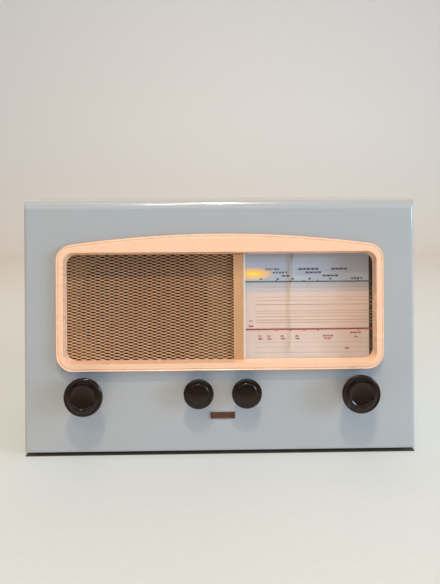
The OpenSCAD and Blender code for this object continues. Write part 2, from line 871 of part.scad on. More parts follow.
module dial_plate() {
    leg_w = 16;
    leg_reach = 16;
    color([0.87, 0.84, 0.78]) {
        difference() {
            union() {
                block([plate_x0, plate_y, plate_z0], [plate_x1, plate_back, plate_z1]);
                for (x = [plate_x0 + 30, plate_x1 - leg_w - 12]) {
                    block([x, plate_y, deck_z], [x + leg_w, plate_back, plate_z0 + 0.01]);
                    block([x, plate_y, deck_z], [x + leg_w, apron_y + leg_reach, deck_z + plate_t]);
                }
            }
            bar_y(lamp_r + 1.5, plate_y - 1, plate_back + 1, lamp_x, lamp_z);
        }
        for (x = [pulley_left_x, pulley_right_x]) {
            bar_y(pin_r, plate_back - 0.2, pulley_y + pulley_w / 2 + 1.4, x, pulley_z);
            bar_y(2.6, plate_back - 0.2, pulley_y - pulley_w / 2 - fit_gap, x, pulley_z);
            bar_y(2.6, pulley_y + pulley_w / 2 + fit_gap, pulley_y + pulley_w / 2 + 1.4, x, pulley_z);
        }
    }
}

// Rod that the pointer's carriage slides on, held by a post at each end
module pointer_rail() {
    post_w = 4;
    color([0.78, 0.78, 0.76]) {
        bar_x(rail_r, plate_x0 + 2, plate_x1 - 2, rail_y, rail_z);
        for (x = [plate_x0 + 2, plate_x1 - 2 - post_w])
            block([x, plate_back, pulley_z], [x + post_w, plate_back + 5, rail_z + 2.6]);
    }
}

module pointer_carriage() {
    half = carriage_w / 2;
    jaw = 4;
    jaw_gap = cord_r + 0.35;
    jaw_back = pulley_y + 1.7;
    color([0.75, 0.72, 0.62])
        difference() {
            union() {
                block([needle_x - half, rail_y - 2.4, rail_z - 3], [needle_x + half, rail_y + 2.4, rail_z + 3]);
                // arm back and down to the cord
                block([needle_x - jaw, rail_y + 1.2, top_cord_z + 2], [needle_x + jaw, rail_y + 2.4, rail_z - 2.9]);
                block([needle_x - jaw, rail_y + 1.2, top_cord_z + jaw_gap],
                    [needle_x + jaw, jaw_back, top_cord_z + 2.01]);
                block([needle_x - jaw, pulley_y + jaw_gap, top_cord_z - jaw_gap - 1.2],
                    [needle_x + jaw, jaw_back, top_cord_z + 2]);
                block([needle_x - jaw, pulley_y - 1.2, top_cord_z - jaw_gap - 1.2],
                    [needle_x + jaw, jaw_back, top_cord_z - jaw_gap]);
                // arm forward over the top of the dial plate
                block([needle_x - jaw, needle_y + needle_t, plate_z1 + 4],
                    [needle_x + jaw, rail_y - 2.3, plate_z1 + 5.2]);
            }
            bar_x(rail_r + running_gap, needle_x - half - 1, needle_x + half + 1, rail_y, rail_z);
        }
}

module pointer_needle() {
    color([0.8, 0.6, 0.25])
        block([needle_x - needle_w / 2, needle_y, needle_z0],
            [needle_x + needle_w / 2, needle_y + needle_t, plate_z1 + 5.2]);
}

// The cord is a closed loop: round the drum, over the two pulleys, round the tuning spindle and back.
// Each stop is its centre, its cord radius, its whole extra turns and the depth at which the cord
// arrives and leaves.
cord_stops = [
    [[gang_x, gang_z], drum_cord_r, 1, cord_y - cord_swing, cord_y + cord_swing],
    [[pulley_left_x, pulley_z], pulley_cord_r, 0, cord_y + cord_swing, cord_y + cord_swing],
    [[pulley_right_x, pulley_z], pulley_cord_r, 0, cord_y + cord_swing, cord_y + cord_swing],
    [[tuning_x, spindle_z], spindle_cord_r, 2, cord_y + cord_swing, cord_y - cord_swing]
];

// Direction of the straight run that leaves stop i for the next stop
function run_angle(i) =
    let (a = cord_stops[i], b = cord_stops[(i + 1) % len(cord_stops)], d = b[0] - a[0])
    atan2(d[1], d[0]) + asin((b[1] - a[1]) / norm(d));

// Angle through which the cord turns at a stop, clockwise, with its extra turns
function wrap_angle(i) =
    let (n = len(cord_stops), turn = run_angle((i + n - 1) % n) - run_angle(i))
    turn - 360 * floor(turn / 360) + 360 * cord_stops[i][2];

// Points of the cord round stop i
function wrap_points(i) =
    let (
        n = len(cord_stops),
        s = cord_stops[i],
        start = run_angle((i + n - 1) % n) + 90,
        sweep = wrap_angle(i),
        steps = ceil(sweep / (s[1] > 20 ? 10 : 30))
    )
    [for (k = [0:steps])
        let (a = start - sweep * k / steps, y = s[3] + (s[4] - s[3]) * k / steps)
        [s[0][0] + s[1] * cos(a), y, s[0][1] + s[1] * sin(a)]];

module drive_cord() {
    sides = 8;
    path = [for (i = [0:len(cord_stops) - 1]) each wrap_points(i)];
    n = len(path);
    points = [for (i = [0:n - 1])
        let (
            ahead = path[(i + 1) % n] - path[(i + n - 1) % n],
            t = ahead / norm(ahead),
            side = cross(t, [0, 1, 0]),
            u = side / norm(side),
            v = cross(u, t)
        )
        for (k = [0:sides - 1])
            path[i] + cord_r * (u * cos(360 * k / sides) + v * sin(360 * k / sides))];
    faces = [for (i = [0:n - 1], k = [0:sides - 1])
        let (j = (i + 1) % n, m = (k + 1) % sides)
        each [
            [i * sides + k, j * sides + m, j * sides + k],
            [i * sides + k, i * sides + m, j * sides + m]
        ]];
    color([0.85, 0.82, 0.7]) polyhedron(points, faces);
}

module pulley(x) {
    half = pulley_w / 2;
    color([0.8, 0.78, 0.7])
        turned_back(x, pulley_y, pulley_z)
            polygon([[pin_r + running_gap, -half], [pulley_r, -half], [pulley_r, -half + 0.6],
                [pulley_groove_r, -0.9], [pulley_groove_r, 0.9], [pulley_r, half - 0.6],
                [pulley_r, half], [pin_r + running_gap, half]]);
}

module pulley_left() {
    pulley(pulley_left_x);
}

module pulley_right() {
    pulley(pulley_right_x);
}

module drive_drum() {
    half = drum_w / 2;
    rim_r = drum_groove_r - 3;
    color([0.8, 0.8, 0.78])
        difference() {
            turned_back(gang_x, cord_y, gang_z)
                polygon([[spindle_r, -half], [7, -half], [7, half - 1.5], [rim_r, half - 1.5],
                    [rim_r, -half], [drum_r, -half], [drum_r, 0.6 - half], [drum_groove_r, -2.6],
                    [drum_groove_r, 2.6], [drum_r, half - 0.6], [drum_r, half], [8, half],
                    [8, half + 6], [spindle_r, half + 6]]);
            for (a = [30:60:330])
                bar_y(7, cord_y, cord_y + half + 1, gang_x + 24 * cos(a), gang_z + 24 * sin(a));
        }
}

// Tuning capacitor

module gang_frame() {
    half = 31;
    wall = 1.5;
    top = gang_z + 31;
    color([0.72, 0.73, 0.74])
        difference() {
            union() {
                block([gang_x - half, gang_y, deck_z], [gang_x + half, gang_y + gang_len, deck_z + wall]);
                for (y = [gang_y, gang_y + gang_len - wall])
                    block([gang_x - half, y, deck_z], [gang_x + half, y + wall, top]);
                for (sx = [-1, 1])
                    block([gang_x + sx * (half - 2) - 2, gang_y, top - 5],
                        [gang_x + sx * (half - 2) + 2, gang_y + gang_len, top - 3.5]);
            }
            bar_y(spindle_r + running_gap, gang_y - 1, gang_y + gang_len + 1, gang_x, gang_z);
        }
}

plate_thin = 0.5;
plate_pitch = 2;
section_starts = [5, 30];
section_plates = 10;
stator_rod_r = 27.2;

module gang_stators() {
    outer = stator_rod_r + 1.8;
    color([0.82, 0.83, 0.84]) {
        for (s = section_starts, k = [0:section_plates])
            along_y(gang_y + s + k * plate_pitch, gang_y + s + k * plate_pitch + plate_thin)
                difference() {
                    intersection() {
                        translate([gang_x, gang_z]) circle(outer);
                        translate([gang_x - outer, gang_z - outer]) square([2 * outer, outer - 0.5]);
                    }
                    translate([gang_x, gang_z]) circle(spindle_r + 3);
                }
        for (a = [205, 270, 335])
            bar_y(1.5, gang_y + 1.5, gang_y + gang_len - 1.5,
                gang_x + stator_rod_r * cos(a), gang_z + stator_rod_r * sin(a));
    }
}

// Half discs on the shaft: they lie between the fixed plates when the pointer is at its left stop
module gang_rotor() {
    turned_out = 360 * pointer_rest / scale_travel / 2;
    color([0.86, 0.86, 0.84]) {
        bar_y(spindle_r, cord_y - drum_w / 2, gang_y + gang_len + 3, gang_x, gang_z);
        for (s = section_starts)
            bar_y(spindle_r + 1.6, gang_y + s, gang_y + s + section_plates * plate_pitch, gang_x, gang_z);
        for (s = section_starts, k = [0:section_plates - 1])
            along_y(gang_y + s + k * plate_pitch + 1, gang_y + s + k * plate_pitch + 1 + plate_thin)
                translate([gang_x, gang_z])
                    rotate(-turned_out)
                        intersection() {
                            circle(rotor_r);
                            translate([-rotor_r, -rotor_r]) square([2 * rotor_r, rotor_r + 1]);
                        }
    }
}

// Chassis

module chassis_tray() {
    x = chassis_x;
    t = chassis_t;
    color([0.68, 0.69, 0.7])
        difference() {
            block([-x, apron_y, base_z], [x, chassis_back, deck_z]);
            block([t - x, apron_y + t, base_z + t], [x - t, chassis_back - t, deck_under]);
            block([foot_lip - x, apron_y + t, base_z - 1], [x - foot_lip, chassis_back - t, base_z + t + 1]);
            for (p = chassis_places) post(screw_hole_r, base_z - 1, base_z + t + 1, p[0], p[1]);
            for (cx = control_xs) bar_y(bush_r + 0.1, apron_y - 1, apron_y + t + 1, cx, spindle_z);
            for (p = valve_places) post(valve_r - 1, deck_under - 1, deck_z + 1, p[0], depth(p[1]));
            for (k = [0:socket_count - 1])
                bar_y(socket_r + 2, chassis_back - t - 1, chassis_back + 1, socket_bore_x(k), socket_z);
            bar_y(grommet_r + 2.55, chassis_back - t - 1, chassis_back + 1, mains_x, mains_z);
        }
}

function socket_bore_x(k) = socket_x + (k - (socket_count - 1) / 2) * socket_pitch;

// The tuning spindle's bush: its front end stays short of the cord
bush_front = 4;
bush_back = 6;
keeper_t = 1.6;
module tuning_bush() {
    color([0.78, 0.66, 0.4])
        difference() {
            union() {
                bar_y(bush_r, apron_y - bush_front, apron_y + bush_back, tuning_x, spindle_z);
                bar_y(bush_r + 3, apron_y + chassis_t, apron_y + chassis_t + 2, tuning_x, spindle_z);
            }
            bar_y(spindle_r + running_gap, apron_y - 8, apron_y + 8, tuning_x, spindle_z);
        }
}

module control_nuts() {
    color([0.78, 0.77, 0.72])
        for (x = control_xs)
            difference() {
                translate([x, apron_y, spindle_z]) rotate([90, 0, 0])
                    cylinder(r = 8, h = control_nut_t, $fn = 6);
                bar_y(bush_r + 0.05, apron_y - control_nut_t - 1, apron_y + 1, x, spindle_z);
            }
}

// A rotary control behind the chassis front: can, bush and blind bearing
module control_body(x, can_r, can_len, tags) {
    y0 = apron_y + chassis_t;
    difference() {
        union() {
            bar_y(bush_r, apron_y - 7, y0 + 0.1, x, spindle_z);
            bar_y(can_r, y0, y0 + can_len, x, spindle_z);
            for (i = [-1:1:tags - 2])
                block([x + i * 7 - 1.2, y0 + 3, spindle_z - can_r - 6],
                    [x + i * 7 + 1.2, y0 + 4, spindle_z - can_r + 5]);
        }
        bar_y(spindle_r + running_gap, apron_y - 8, spindle_end + 0.3, x, spindle_z);
    }
}

module volume_control() {
    color([0.5, 0.42, 0.3]) {
        control_body(volume_x, 12, 14, 3);
        // mains switch on the back of the can
        bar_y(10, apron_y + chassis_t + 14, apron_y + chassis_t + 24, volume_x, spindle_z);
    }
}

module tone_control() {
    color([0.5, 0.42, 0.3]) control_body(tone_x, 12, 14, 3);
}

// Click plate at the front and two contact wafers carried by two pillars
wafer_places = [28, 44];
wafer_t = 2;
wafer_r = 10.5;
wafer_hub_r = 6;
module wave_switch() {
    y0 = apron_y + chassis_t;
    reach = 20;
    color([0.6, 0.45, 0.28])
        difference() {
            union() {
                bar_y(bush_r, apron_y - 7, y0 + 0.1, wave_x, spindle_z);
                block([wave_x - reach, y0, spindle_z - 9], [wave_x + reach, y0 + 3, spindle_z + 9]);
                for (w = wafer_places) {
                    bar_y(wafer_r + 3, apron_y + w, apron_y + w + wafer_t, wave_x, spindle_z);
                    block([wave_x - reach, apron_y + w, spindle_z - 4],
                        [wave_x + reach, apron_y + w + wafer_t, spindle_z + 4]);
                }
                for (sx = [-1, 1])
                    bar_y(1.6, y0 + 2.9, apron_y + wafer_places[1] + wafer_t + 2,
                        wave_x + sx * (reach - 3), spindle_z);
            }
            bar_y(spindle_r + running_gap, apron_y - 8, y0 + 4, wave_x, spindle_z);
            bar_y(wafer_hub_r + 0.4, y0 + 5, apron_y + 60, wave_x, spindle_z);
        }
}

// Knobs and spindles

// The body widens from its neck to a thin rim at the front, round a dished face
knob_neck_r = 13;
module large_knob(x) {
    r = large_knob_d / 2;
    h = large_knob_h;
    dish_r = r * 0.6;
    color([0.1, 0.07, 0.06])
        difference() {
            turned_forward(x, knob_y, spindle_z)
                polygon([[0, 0], [knob_neck_r, 0], [knob_neck_r + 1, 1], [knob_neck_r + 1.5, 4],
                    [r - 6, h * 0.4], [r - 2.4, h * 0.65], [r - 0.4, h - 4.7], [r, h - 3.3], [r, h - 2.4],
                    [r - 0.8, h - 1.1], [r - 1.8, h - 0.5], [r - 3.4, h - 1.2], [dish_r + 0.6, h],
                    [dish_r - 0.2, h - 0.2], [dish_r - 1, h - 1.1], [dish_r * 0.45, h - 1.9], [0, h - 2.1]]);
            bar_y(spindle_r + 0.02, knob_y - h * 0.7, knob_y + 1, x, spindle_z);
        }
}

// The body widens to a sharp rim and a bevel round a gently domed face
small_neck_r = 10.5;
module small_knob(x) {
    r = small_knob_d / 2;
    h = small_knob_h;
    dome = 60;
    face_r = r - 3.2;
    color([0.1, 0.07, 0.06])
        difference() {
            turned_forward(x, knob_y, spindle_z)
                union() {
                    polygon([[0, 0], [small_neck_r, 0], [small_neck_r + 0.8, 0.8], [small_neck_r + 1, 4],
                        [r - 3, h * 0.6], [r - 0.4, h - 3.4], [r, h - 2.8], [face_r, h - 1.6], [0, h - 1.6]]);
                    intersection() {
                        translate([0, h - dome]) circle(dome, $fn = 360);
                        translate([0, h - 3]) square([face_r, 4]);
                    }
                }
            bar_y(spindle_r + 0.02, knob_y - h * 0.7, knob_y + 1, x, spindle_z);
        }
}

// A spindle from inside its knob to its bearing
module spindle(x, knob_h, end_y) {
    bar_y(spindle_r, knob_y - knob_h * 0.7 + 0.3, end_y, x, spindle_z);
}

module volume_knob() {
    large_knob(volume_x);
}

module tuning_knob() {
    large_knob(tuning_x);
}

module tone_knob() {
    small_knob(tone_x);
}

module wave_knob() {
    small_knob(wave_x);
}

module volume_spindle() {
    color([0.8, 0.79, 0.74]) spindle(volume_x, large_knob_h, spindle_end);
}

module tone_spindle() {
    color([0.8, 0.79, 0.74]) spindle(tone_x, small_knob_h, spindle_end);
}

module wave_spindle() {
    color([0.8, 0.79, 0.74]) {
        spindle(wave_x, small_knob_h, apron_y + wafer_places[1] + wafer_t + 2);
        for (w = wafer_places) bar_y(wafer_hub_r, apron_y + w, apron_y + w + wafer_t, wave_x, spindle_z);
    }
}

module tuning_spindle() {
    color([0.8, 0.79, 0.74]) {
        spindle(tuning_x, large_knob_h, apron_y + 10);
        // keeper rings before and behind the bush
        for (y = [apron_y - bush_front - keeper_t - 0.4, apron_y + bush_back + 0.3])
            bar_y(spindle_r + 1.8, y, y + keeper_t, tuning_x, spindle_z);
    }
}

// Components on and under the deck

module power_transformer() {
    mid_x = (power_x0 + power_x1) / 2;
    mid_y = (power_y0 + power_y1) / 2;
    core_half = 17;
    h = 62;
    color([0.28, 0.27, 0.26]) {
        block([power_x0, mid_y - core_half, deck_z], [power_x1, mid_y + core_half, deck_z + h]);
        for (sy = [-1, 1])
            block([power_x0 + 14, sy > 0 ? mid_y + core_half - 0.1 : power_y0, deck_z + 10],
                [power_x1 - 14, sy > 0 ? power_y1 : mid_y - core_half + 0.1, deck_z + h - 10]);
        for (sx = [-1, 1], sy = [-1, 1])
            bar_y(3, mid_y + sy * core_half + (sy > 0 ? -0.1 : -2.4), mid_y + sy * core_half + (sy > 0 ? 2.4 : 0.1),
                mid_x + sx * (power_x1 - mid_x - 6), deck_z + h - 6);
    }
}

module smoothing_capacitor() {
    x = smoothing_place[0];
    y = depth(smoothing_place[1]);
    color([0.75, 0.76, 0.77]) {
        post(smoothing_r, deck_z, deck_z + smoothing_h, x, y);
        post(smoothing_r - 3, deck_z + smoothing_h - 0.1, deck_z + smoothing_h + 1.5, x, y);
        // clamp ring with its two fixing ears
        post(smoothing_r + 1, deck_z, deck_z + 12, x, y);
        block([x - smoothing_r - 9, y - 5, deck_z], [x + smoothing_r + 9, y + 5, deck_z + 1.5]);
    }
}

module coupling_cans() {
    color([0.78, 0.79, 0.8])
        for (p = can_places)
            translate([p[0], depth(p[1]), deck_z])
                linear_extrude(can_h)
                    rounded_box_2d(-can_w / 2, can_w / 2, -can_w / 2, can_w / 2, 3, 3);
}

module valve_holders() {
    color([0.2, 0.14, 0.1])
        for (p = valve_places)
            difference() {
                union() {
                    post(valve_r + 2, deck_z, deck_z + holder_h, p[0], depth(p[1]));
                    block([p[0] - valve_r - 7, depth(p[1]) - 6, deck_z], [p[0] + valve_r + 7, depth(p[1]) + 6, deck_z + 1.5]);
                }
                post(valve_r - 3, deck_z - 1, deck_z + 3, p[0], depth(p[1]));
                post(valve_r + 0.2, deck_z + 2, deck_z + holder_h + 1, p[0], depth(p[1]));
            }
}

module valves() {
    tip_r = 2.2;
    color([0.35, 0.33, 0.31, 0.6])
        for (p = valve_places)
            translate([p[0], depth(p[1]), deck_z + 2])
                rotate_extrude()
                    union() {
                        square([valve_r, valve_h - valve_r]);
                        intersection() {
                            translate([0, valve_h - valve_r]) circle(valve_r);
                            square([valve_r, valve_h]);
                        }
                        translate([0, valve_h - 1]) square([tip_r, 4]);
                    }
}

module lamp_holder() {
    color([0.7, 0.62, 0.4])
        difference() {
            union() {
                bar_y(lamp_r + 1, plate_back + 2, plate_back + 18, lamp_x, lamp_z);
                block([lamp_x - 9, plate_back, lamp_z - 12], [lamp_x + 9, plate_back + 1.2, lamp_z - 7]);
                block([lamp_x - 2.5, plate_back, lamp_z - 10], [lamp_x + 2.5, plate_back + 8, lamp_z - lamp_r]);
            }
            bar_y(lamp_r - 0.2, plate_back - 1, plate_back + 14, lamp_x, lamp_z);
        }
}

module dial_lamp() {
    y = plate_back + 2;
    color([1, 0.85, 0.5, 0.6])
        turned_back(lamp_x, y, lamp_z)
            union() {
                square([lamp_r - 0.4, 11]);
                intersection() {
                    circle(lamp_r - 0.4);
                    translate([0, -lamp_r]) square([lamp_r, lamp_r + 1]);
                }
            }
}

// Paxolin strip with four brass plug sockets, riveted over holes in the chassis back
module socket_strip() {
    y0 = chassis_back;
    color([0.45, 0.28, 0.14])
        difference() {
            union() {
                along_y(y0, y0 + 2)
                    rounded_box_2d(socket_x - 33, socket_x + 33, socket_z - 10, socket_z + 10, 2, 2);
                for (k = [0:socket_count - 1])
                    bar_y(socket_r + 1.4, y0 - 6, y0 + 3.4, socket_bore_x(k), socket_z);
            }
            for (k = [0:socket_count - 1]) bar_y(socket_r, y0 - 7, y0 + 5, socket_bore_x(k), socket_z);
        }
}

module mains_grommet() {
    y0 = chassis_back;
    color([0.08, 0.08, 0.08])
        turned_back(mains_x, y0 - chassis_t, mains_z)
            polygon([[grommet_r, -2.4], [grommet_r + 4.6, -2.4], [grommet_r + 4.6, 0], [grommet_r + 2.5, 0],
                [grommet_r + 2.5, chassis_t], [grommet_r + 4.6, chassis_t], [grommet_r + 4.6, chassis_t + 2.8],
                [grommet_r, chassis_t + 2.8]]);
}

// Coils on card formers that hang from the underside of the deck near the wavechange switch
module aerial_coils() {
    former_len = 34;
    former_r = 5;
    winding_r = 7.5;
    winding_h = 8;
    coil_gap = 22;
    first_x = wave_x + 34.8;
    y = depth(62);
    color([0.65, 0.5, 0.3])
        for (i = [0:3]) {
            x = first_x + i * coil_gap;
            difference() {
                union() {
                    post(former_r, deck_under - former_len, deck_under, x, y);
                    post(winding_r, deck_under - 2 * winding_h, deck_under - winding_h, x, y);
                    post(winding_r, deck_under - former_len + 6, deck_under - former_len + 6 + winding_h, x, y);
                }
                post(former_r - 1.5, deck_under - former_len - 1, deck_under - 4, x, y);
            }
        }
}

// Board of tags across the chassis with the small components laid over it
module tag_board() {
    y = (apron_y + chassis_back) / 2 - 4;
    board_h = chassis_h * 0.4;
    z = base_z + board_h;
    x0 = -chassis_x * 0.55;
    x1 = chassis_x * 0.45;
    part_count = 8;
    pitch = (x1 - x0) / part_count;
    color([0.55, 0.4, 0.22]) {
        block([x0, y, z], [x1, y + 2, z + board_h]);
        for (x = [x0 + 6, x1 - 12])
            block([x, y + 2, z + 10], [x + 6, chassis_back - chassis_t, z + 12]);
        for (i = [0:part_count - 1]) {
            r = i % 3 == 0 ? 5.5 : 3;
            post(r, z + 4, z + board_h - 4, x0 + (i + 0.5) * pitch, y - r);
            post(0.5, z + 1, z + board_h - 1, x0 + (i + 0.5) * pitch, y - r);
        }
    }
}

case_shell();
base_plate();
base_screws();
rubber_feet();
rear_cover();
rear_cover_screws();
surround();
surround_clips();
divider_strip();
grille_mesh();
baffle_board();
dial_glass();
trim_straps();
trim_nuts();
blank_badge();
knob_felts();
speaker_frame();
speaker_magnet();
speaker_gasket();
speaker_bolts();
speaker_cone();
voice_coil();
cone_surround();
output_transformer();
dial_plate();
pointer_rail();
pointer_carriage();
pointer_needle();
drive_cord();
pulley_left();
pulley_right();
drive_drum();
gang_frame();
gang_stators();
gang_rotor();
chassis_tray();
tuning_bush();
control_nuts();
volume_control();
tone_control();
wave_switch();
volume_knob();
volume_spindle();
tone_knob();
tone_spindle();
wave_knob();
wave_spindle();
tuning_knob();
tuning_spindle();
power_transformer();
smoothing_capacitor();
coupling_cans();
valve_holders();
valves();
lamp_holder();
dial_lamp();
socket_strip();
mains_grommet();
aerial_coils();
tag_board();
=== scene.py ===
import json
import math

import bmesh
import bpy
from mathutils import Matrix, Vector


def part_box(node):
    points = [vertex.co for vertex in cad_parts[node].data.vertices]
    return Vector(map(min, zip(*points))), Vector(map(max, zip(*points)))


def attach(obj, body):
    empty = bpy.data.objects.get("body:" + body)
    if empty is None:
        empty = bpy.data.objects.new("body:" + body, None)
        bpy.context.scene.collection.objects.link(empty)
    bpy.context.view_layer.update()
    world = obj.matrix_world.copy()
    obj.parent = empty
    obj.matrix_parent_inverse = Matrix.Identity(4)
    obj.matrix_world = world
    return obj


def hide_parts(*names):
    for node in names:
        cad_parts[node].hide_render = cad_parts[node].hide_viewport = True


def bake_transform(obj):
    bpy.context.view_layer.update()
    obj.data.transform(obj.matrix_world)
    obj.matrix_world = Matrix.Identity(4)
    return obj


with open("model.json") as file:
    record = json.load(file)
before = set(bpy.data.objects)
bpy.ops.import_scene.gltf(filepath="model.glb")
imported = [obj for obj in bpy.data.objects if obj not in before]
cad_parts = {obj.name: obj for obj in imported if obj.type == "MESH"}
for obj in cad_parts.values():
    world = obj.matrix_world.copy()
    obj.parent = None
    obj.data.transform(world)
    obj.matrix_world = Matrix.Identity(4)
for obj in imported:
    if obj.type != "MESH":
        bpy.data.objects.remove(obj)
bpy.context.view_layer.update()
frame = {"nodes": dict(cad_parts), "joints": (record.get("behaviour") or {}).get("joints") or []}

nodes = frame["nodes"]

# The photographer's place: level with the top of the set, a hand to its left,
# with the lens shifted down instead of the camera tilted.
viewpoint = Vector((-0.0084, -0.6178, 0.287))
turned_aside, rolled = math.radians(-0.9), math.radians(-0.32)
shifted_down, picture_high = 77, 584
camera_data = bpy.data.cameras.new("camera")
camera_data.sensor_width = 36.0
camera_data.lens = 27.18
camera_data.shift_y = -shifted_down / picture_high
camera_data.clip_end = 60.0
camera = bpy.data.objects.new("camera", camera_data)
bpy.context.scene.collection.objects.link(camera)
camera.matrix_world = (
    Matrix.Translation(viewpoint)
    @ Matrix.Rotation(turned_aside, 4, "Z")
    @ Matrix.Rotation(math.radians(90), 4, "X")
    @ Matrix.Rotation(rolled, 4, "Z")
)
bpy.context.scene.camera = camera
bpy.context.scene.view_settings.view_transform = "Standard"


# The room: a pale table that sweeps up into a pale wall, in even cool daylight.
# Two warm lamps high in front throw the soft shadows, a long one brightens the
# brow, a window lights the set from the right and a warm lamp from behind.
def shade(red, green, blue):
    """A colour as it is read off a picture, 0 to 255, for a shader socket."""
    def straight(level):
        level /= 255
        return level / 12.92 if level <= 0.04045 else ((level + 0.055) / 1.055) ** 2.4
    return (straight(red), straight(green), straight(blue), 1.0)


def lay(tree, kind, sockets=(), **settings):
    """Puts one shader node in a tree; its sockets take links or plain values."""
    node = tree.nodes.new(kind)
    for key, value in settings.items():
        setattr(node, key, value)
    for socket, value in dict(sockets).items():
        if isinstance(value, bpy.types.NodeSocket):
            tree.links.new(value, node.inputs[socket])
        else:
            node.inputs[socket].default_value = value
    return node


def tint(tree, mask, under, over):
    """One colour over another, by a mask."""
    return lay(tree, "ShaderNodeMix", {"Factor": mask, 6: under, 7: over}, data_type="RGBA").outputs[2]


def reckon(tree, operation, *terms):
    """One step of arithmetic on masks, places and plain numbers."""
    return lay(tree, "ShaderNodeMath", dict(enumerate(terms)), operation=operation).outputs[0]


def rescale(tree, value, low, high, to_low=0.0, to_high=1.0):
    """Stretches the range from low to high over another range, and holds at its ends."""
    sockets = {"Value": value, "From Min": low, "From Max": high, "To Min": to_low, "To Max": to_high}
    return lay(tree, "ShaderNodeMapRange", sockets).outputs[0]


def noise(tree, place, scale, detail, rough=0.5):
    """Cloudy noise at a place, from 0 to 1."""
    sockets = {"Vector": place, "Scale": scale, "Detail": detail, "Roughness": rough}
    return lay(tree, "ShaderNodeTexNoise", sockets).outputs["Fac"]


def ramp(tree, value, *stops):
    """A band of colours; each stop is its place on the band and its colour."""
    band = lay(tree, "ShaderNodeValToRGB", {"Fac": value})
    elements = band.color_ramp.elements
    elements.remove(elements[1])
    elements[0].position, elements[0].color = stops[0]
    for place, colour in stops[1:]:
        elements.new(place).color = colour
    return band


room = bpy.data.worlds.new("room")
room.use_nodes = True
bpy.context.scene.world = room
air = room.node_tree
air.nodes.clear()
ray = lay(air, "ShaderNodeLightPath").outputs
straight_on = reckon(air, "MAXIMUM", ray["Is Camera Ray"], ray["Is Glossy Ray"])
straight_on = reckon(air, "MAXIMUM", straight_on, ray["Is Transmission Ray"])
way = lay(air, "ShaderNodeSeparateXYZ", {0: lay(air, "ShaderNodeTexCoord").outputs["Generated"]}).outputs
low_sky, high_sky = (0.38, 0.55, 0.77, 1.0), (0.50, 0.45, 0.34, 1.0)
sky = tint(air, rescale(air, way["Z"], 0.0, 0.8), low_sky, high_sky)
daylight = lay(air, "ShaderNodeBackground", {"Color": sky, "Strength": 1.0})
bright_wall = shade(236, 238, 242)
front_wall = ramp(air, way["Z"], (0.16, shade(70, 64, 58)), (0.27, bright_wall), (0.48, bright_wall),
                  (0.7, shade(110, 100, 90)))
behind = rescale(air, way["Y"], -0.3, 0.5)
mirrored = tint(air, behind, front_wall.outputs["Color"], shade(214, 200, 186))
wall_seen = tint(air, ray["Is Glossy Ray"], shade(206, 204, 201), mirrored)
wall = lay(air, "ShaderNodeBackground", {"Color": wall_seen, "Strength": 1.0})
chosen = lay(air, "ShaderNodeMixShader", {0: straight_on, 1: daylight.outputs[0], 2: wall.outputs[0]})
lay(air, "ShaderNodeOutputWorld", {"Surface": chosen.outputs[0]})


def hang_lamp(name, place, aim, watts, colour, width, height=None):
    """A flat lamp turned to a point: a disc, or a rectangle where a height is given."""
    lamp_data = bpy.data.lights.new(name, "AREA")
    lamp_data.energy = watts
    lamp_data.color = colour
    lamp_data.size = width
    lamp_data.shape = "RECTANGLE" if height else "DISK"
    if height:
        lamp_data.size_y = height
    lamp = bpy.data.objects.new(name, lamp_data)
    bpy.context.scene.collection.objects.link(lamp)
    lamp.location = place
    lamp.rotation_euler = (Vector(aim) - Vector(place)).to_track_quat("-Z", "Y").to_euler()


panel_middle = (0, -0.09, 0.12)
lamp_warm = (1.0, 0.78, 0.56)
hang_lamp("ceiling_lamp", (0.02, -1.22, 2.6), panel_middle, 36.0, lamp_warm, 0.18)
hang_lamp("near_lamp", (-0.45, -2.0, 2.6), panel_middle, 15.0, lamp_warm, 0.2)
hang_lamp("long_lamp", (-0.25, -1.12, 2.62), (0, -0.09, 0.25), 6.0, (1.0, 0.84, 0.64), 2.4, 0.06)
hang_lamp("window", (3.2, -1.4, 0.9), (0, 0, 0.15), 70.0, (0.64, 0.90, 1.15), 1.5)
hang_lamp("back_lamp", (0, 1.0, 2.2), (0, -0.05, 0.3), 9.0, (1.0, 0.68, 0.32), 3.0, 1.6)

table_wide, table_deep, table_back = 30, 8, 2.5
sweep_radius, wall_rise = 1.2, 3
bpy.ops.object.select_all(action="DESELECT")
bpy.ops.mesh.primitive_plane_add(size=1, location=(0, table_back - table_deep / 2, 0))
table = bpy.context.object
table.name = table.data.name = "table_top"
table.scale = (table_wide, table_deep, 1)
bpy.ops.object.transform_apply(location=True, rotation=True, scale=True)
bpy.ops.object.mode_set(mode="EDIT")
bpy.ops.mesh.select_mode(type="EDGE")
bpy.ops.mesh.select_all(action="DESELECT")
sweep = bmesh.from_edit_mesh(table.data)
for side in sweep.edges:
    side.select_set(all(corner.co.y > table_back - 0.01 for corner in side.verts))
bmesh.update_edit_mesh(table.data)
bpy.ops.mesh.spin(steps=24, angle=-math.pi / 2, center=(0, table_back, sweep_radius), axis=(1, 0, 0))
bpy.ops.mesh.extrude_region_move(TRANSFORM_OT_translate={"value": (0, 0, wall_rise)})
bpy.ops.object.mode_set(mode="OBJECT")
bpy.ops.object.shade_smooth()
laminate = bpy.data.materials.new("pale_table")
laminate.use_nodes = True
top = laminate.node_tree
ray = lay(top, "ShaderNodeLightPath").outputs
at = lay(top, "ShaderNodeTexCoord").outputs["Object"]
place = lay(top, "ShaderNodeSeparateXYZ", {0: at}).outputs
far = rescale(top, place["Y"], 0.2, 2.6)
top_seen = tint(top, noise(top, at, 140.0, 3.0), shade(202, 211, 219), shade(208, 217, 225))
top_seen = tint(top, far, top_seen, shade(250, 238, 228))
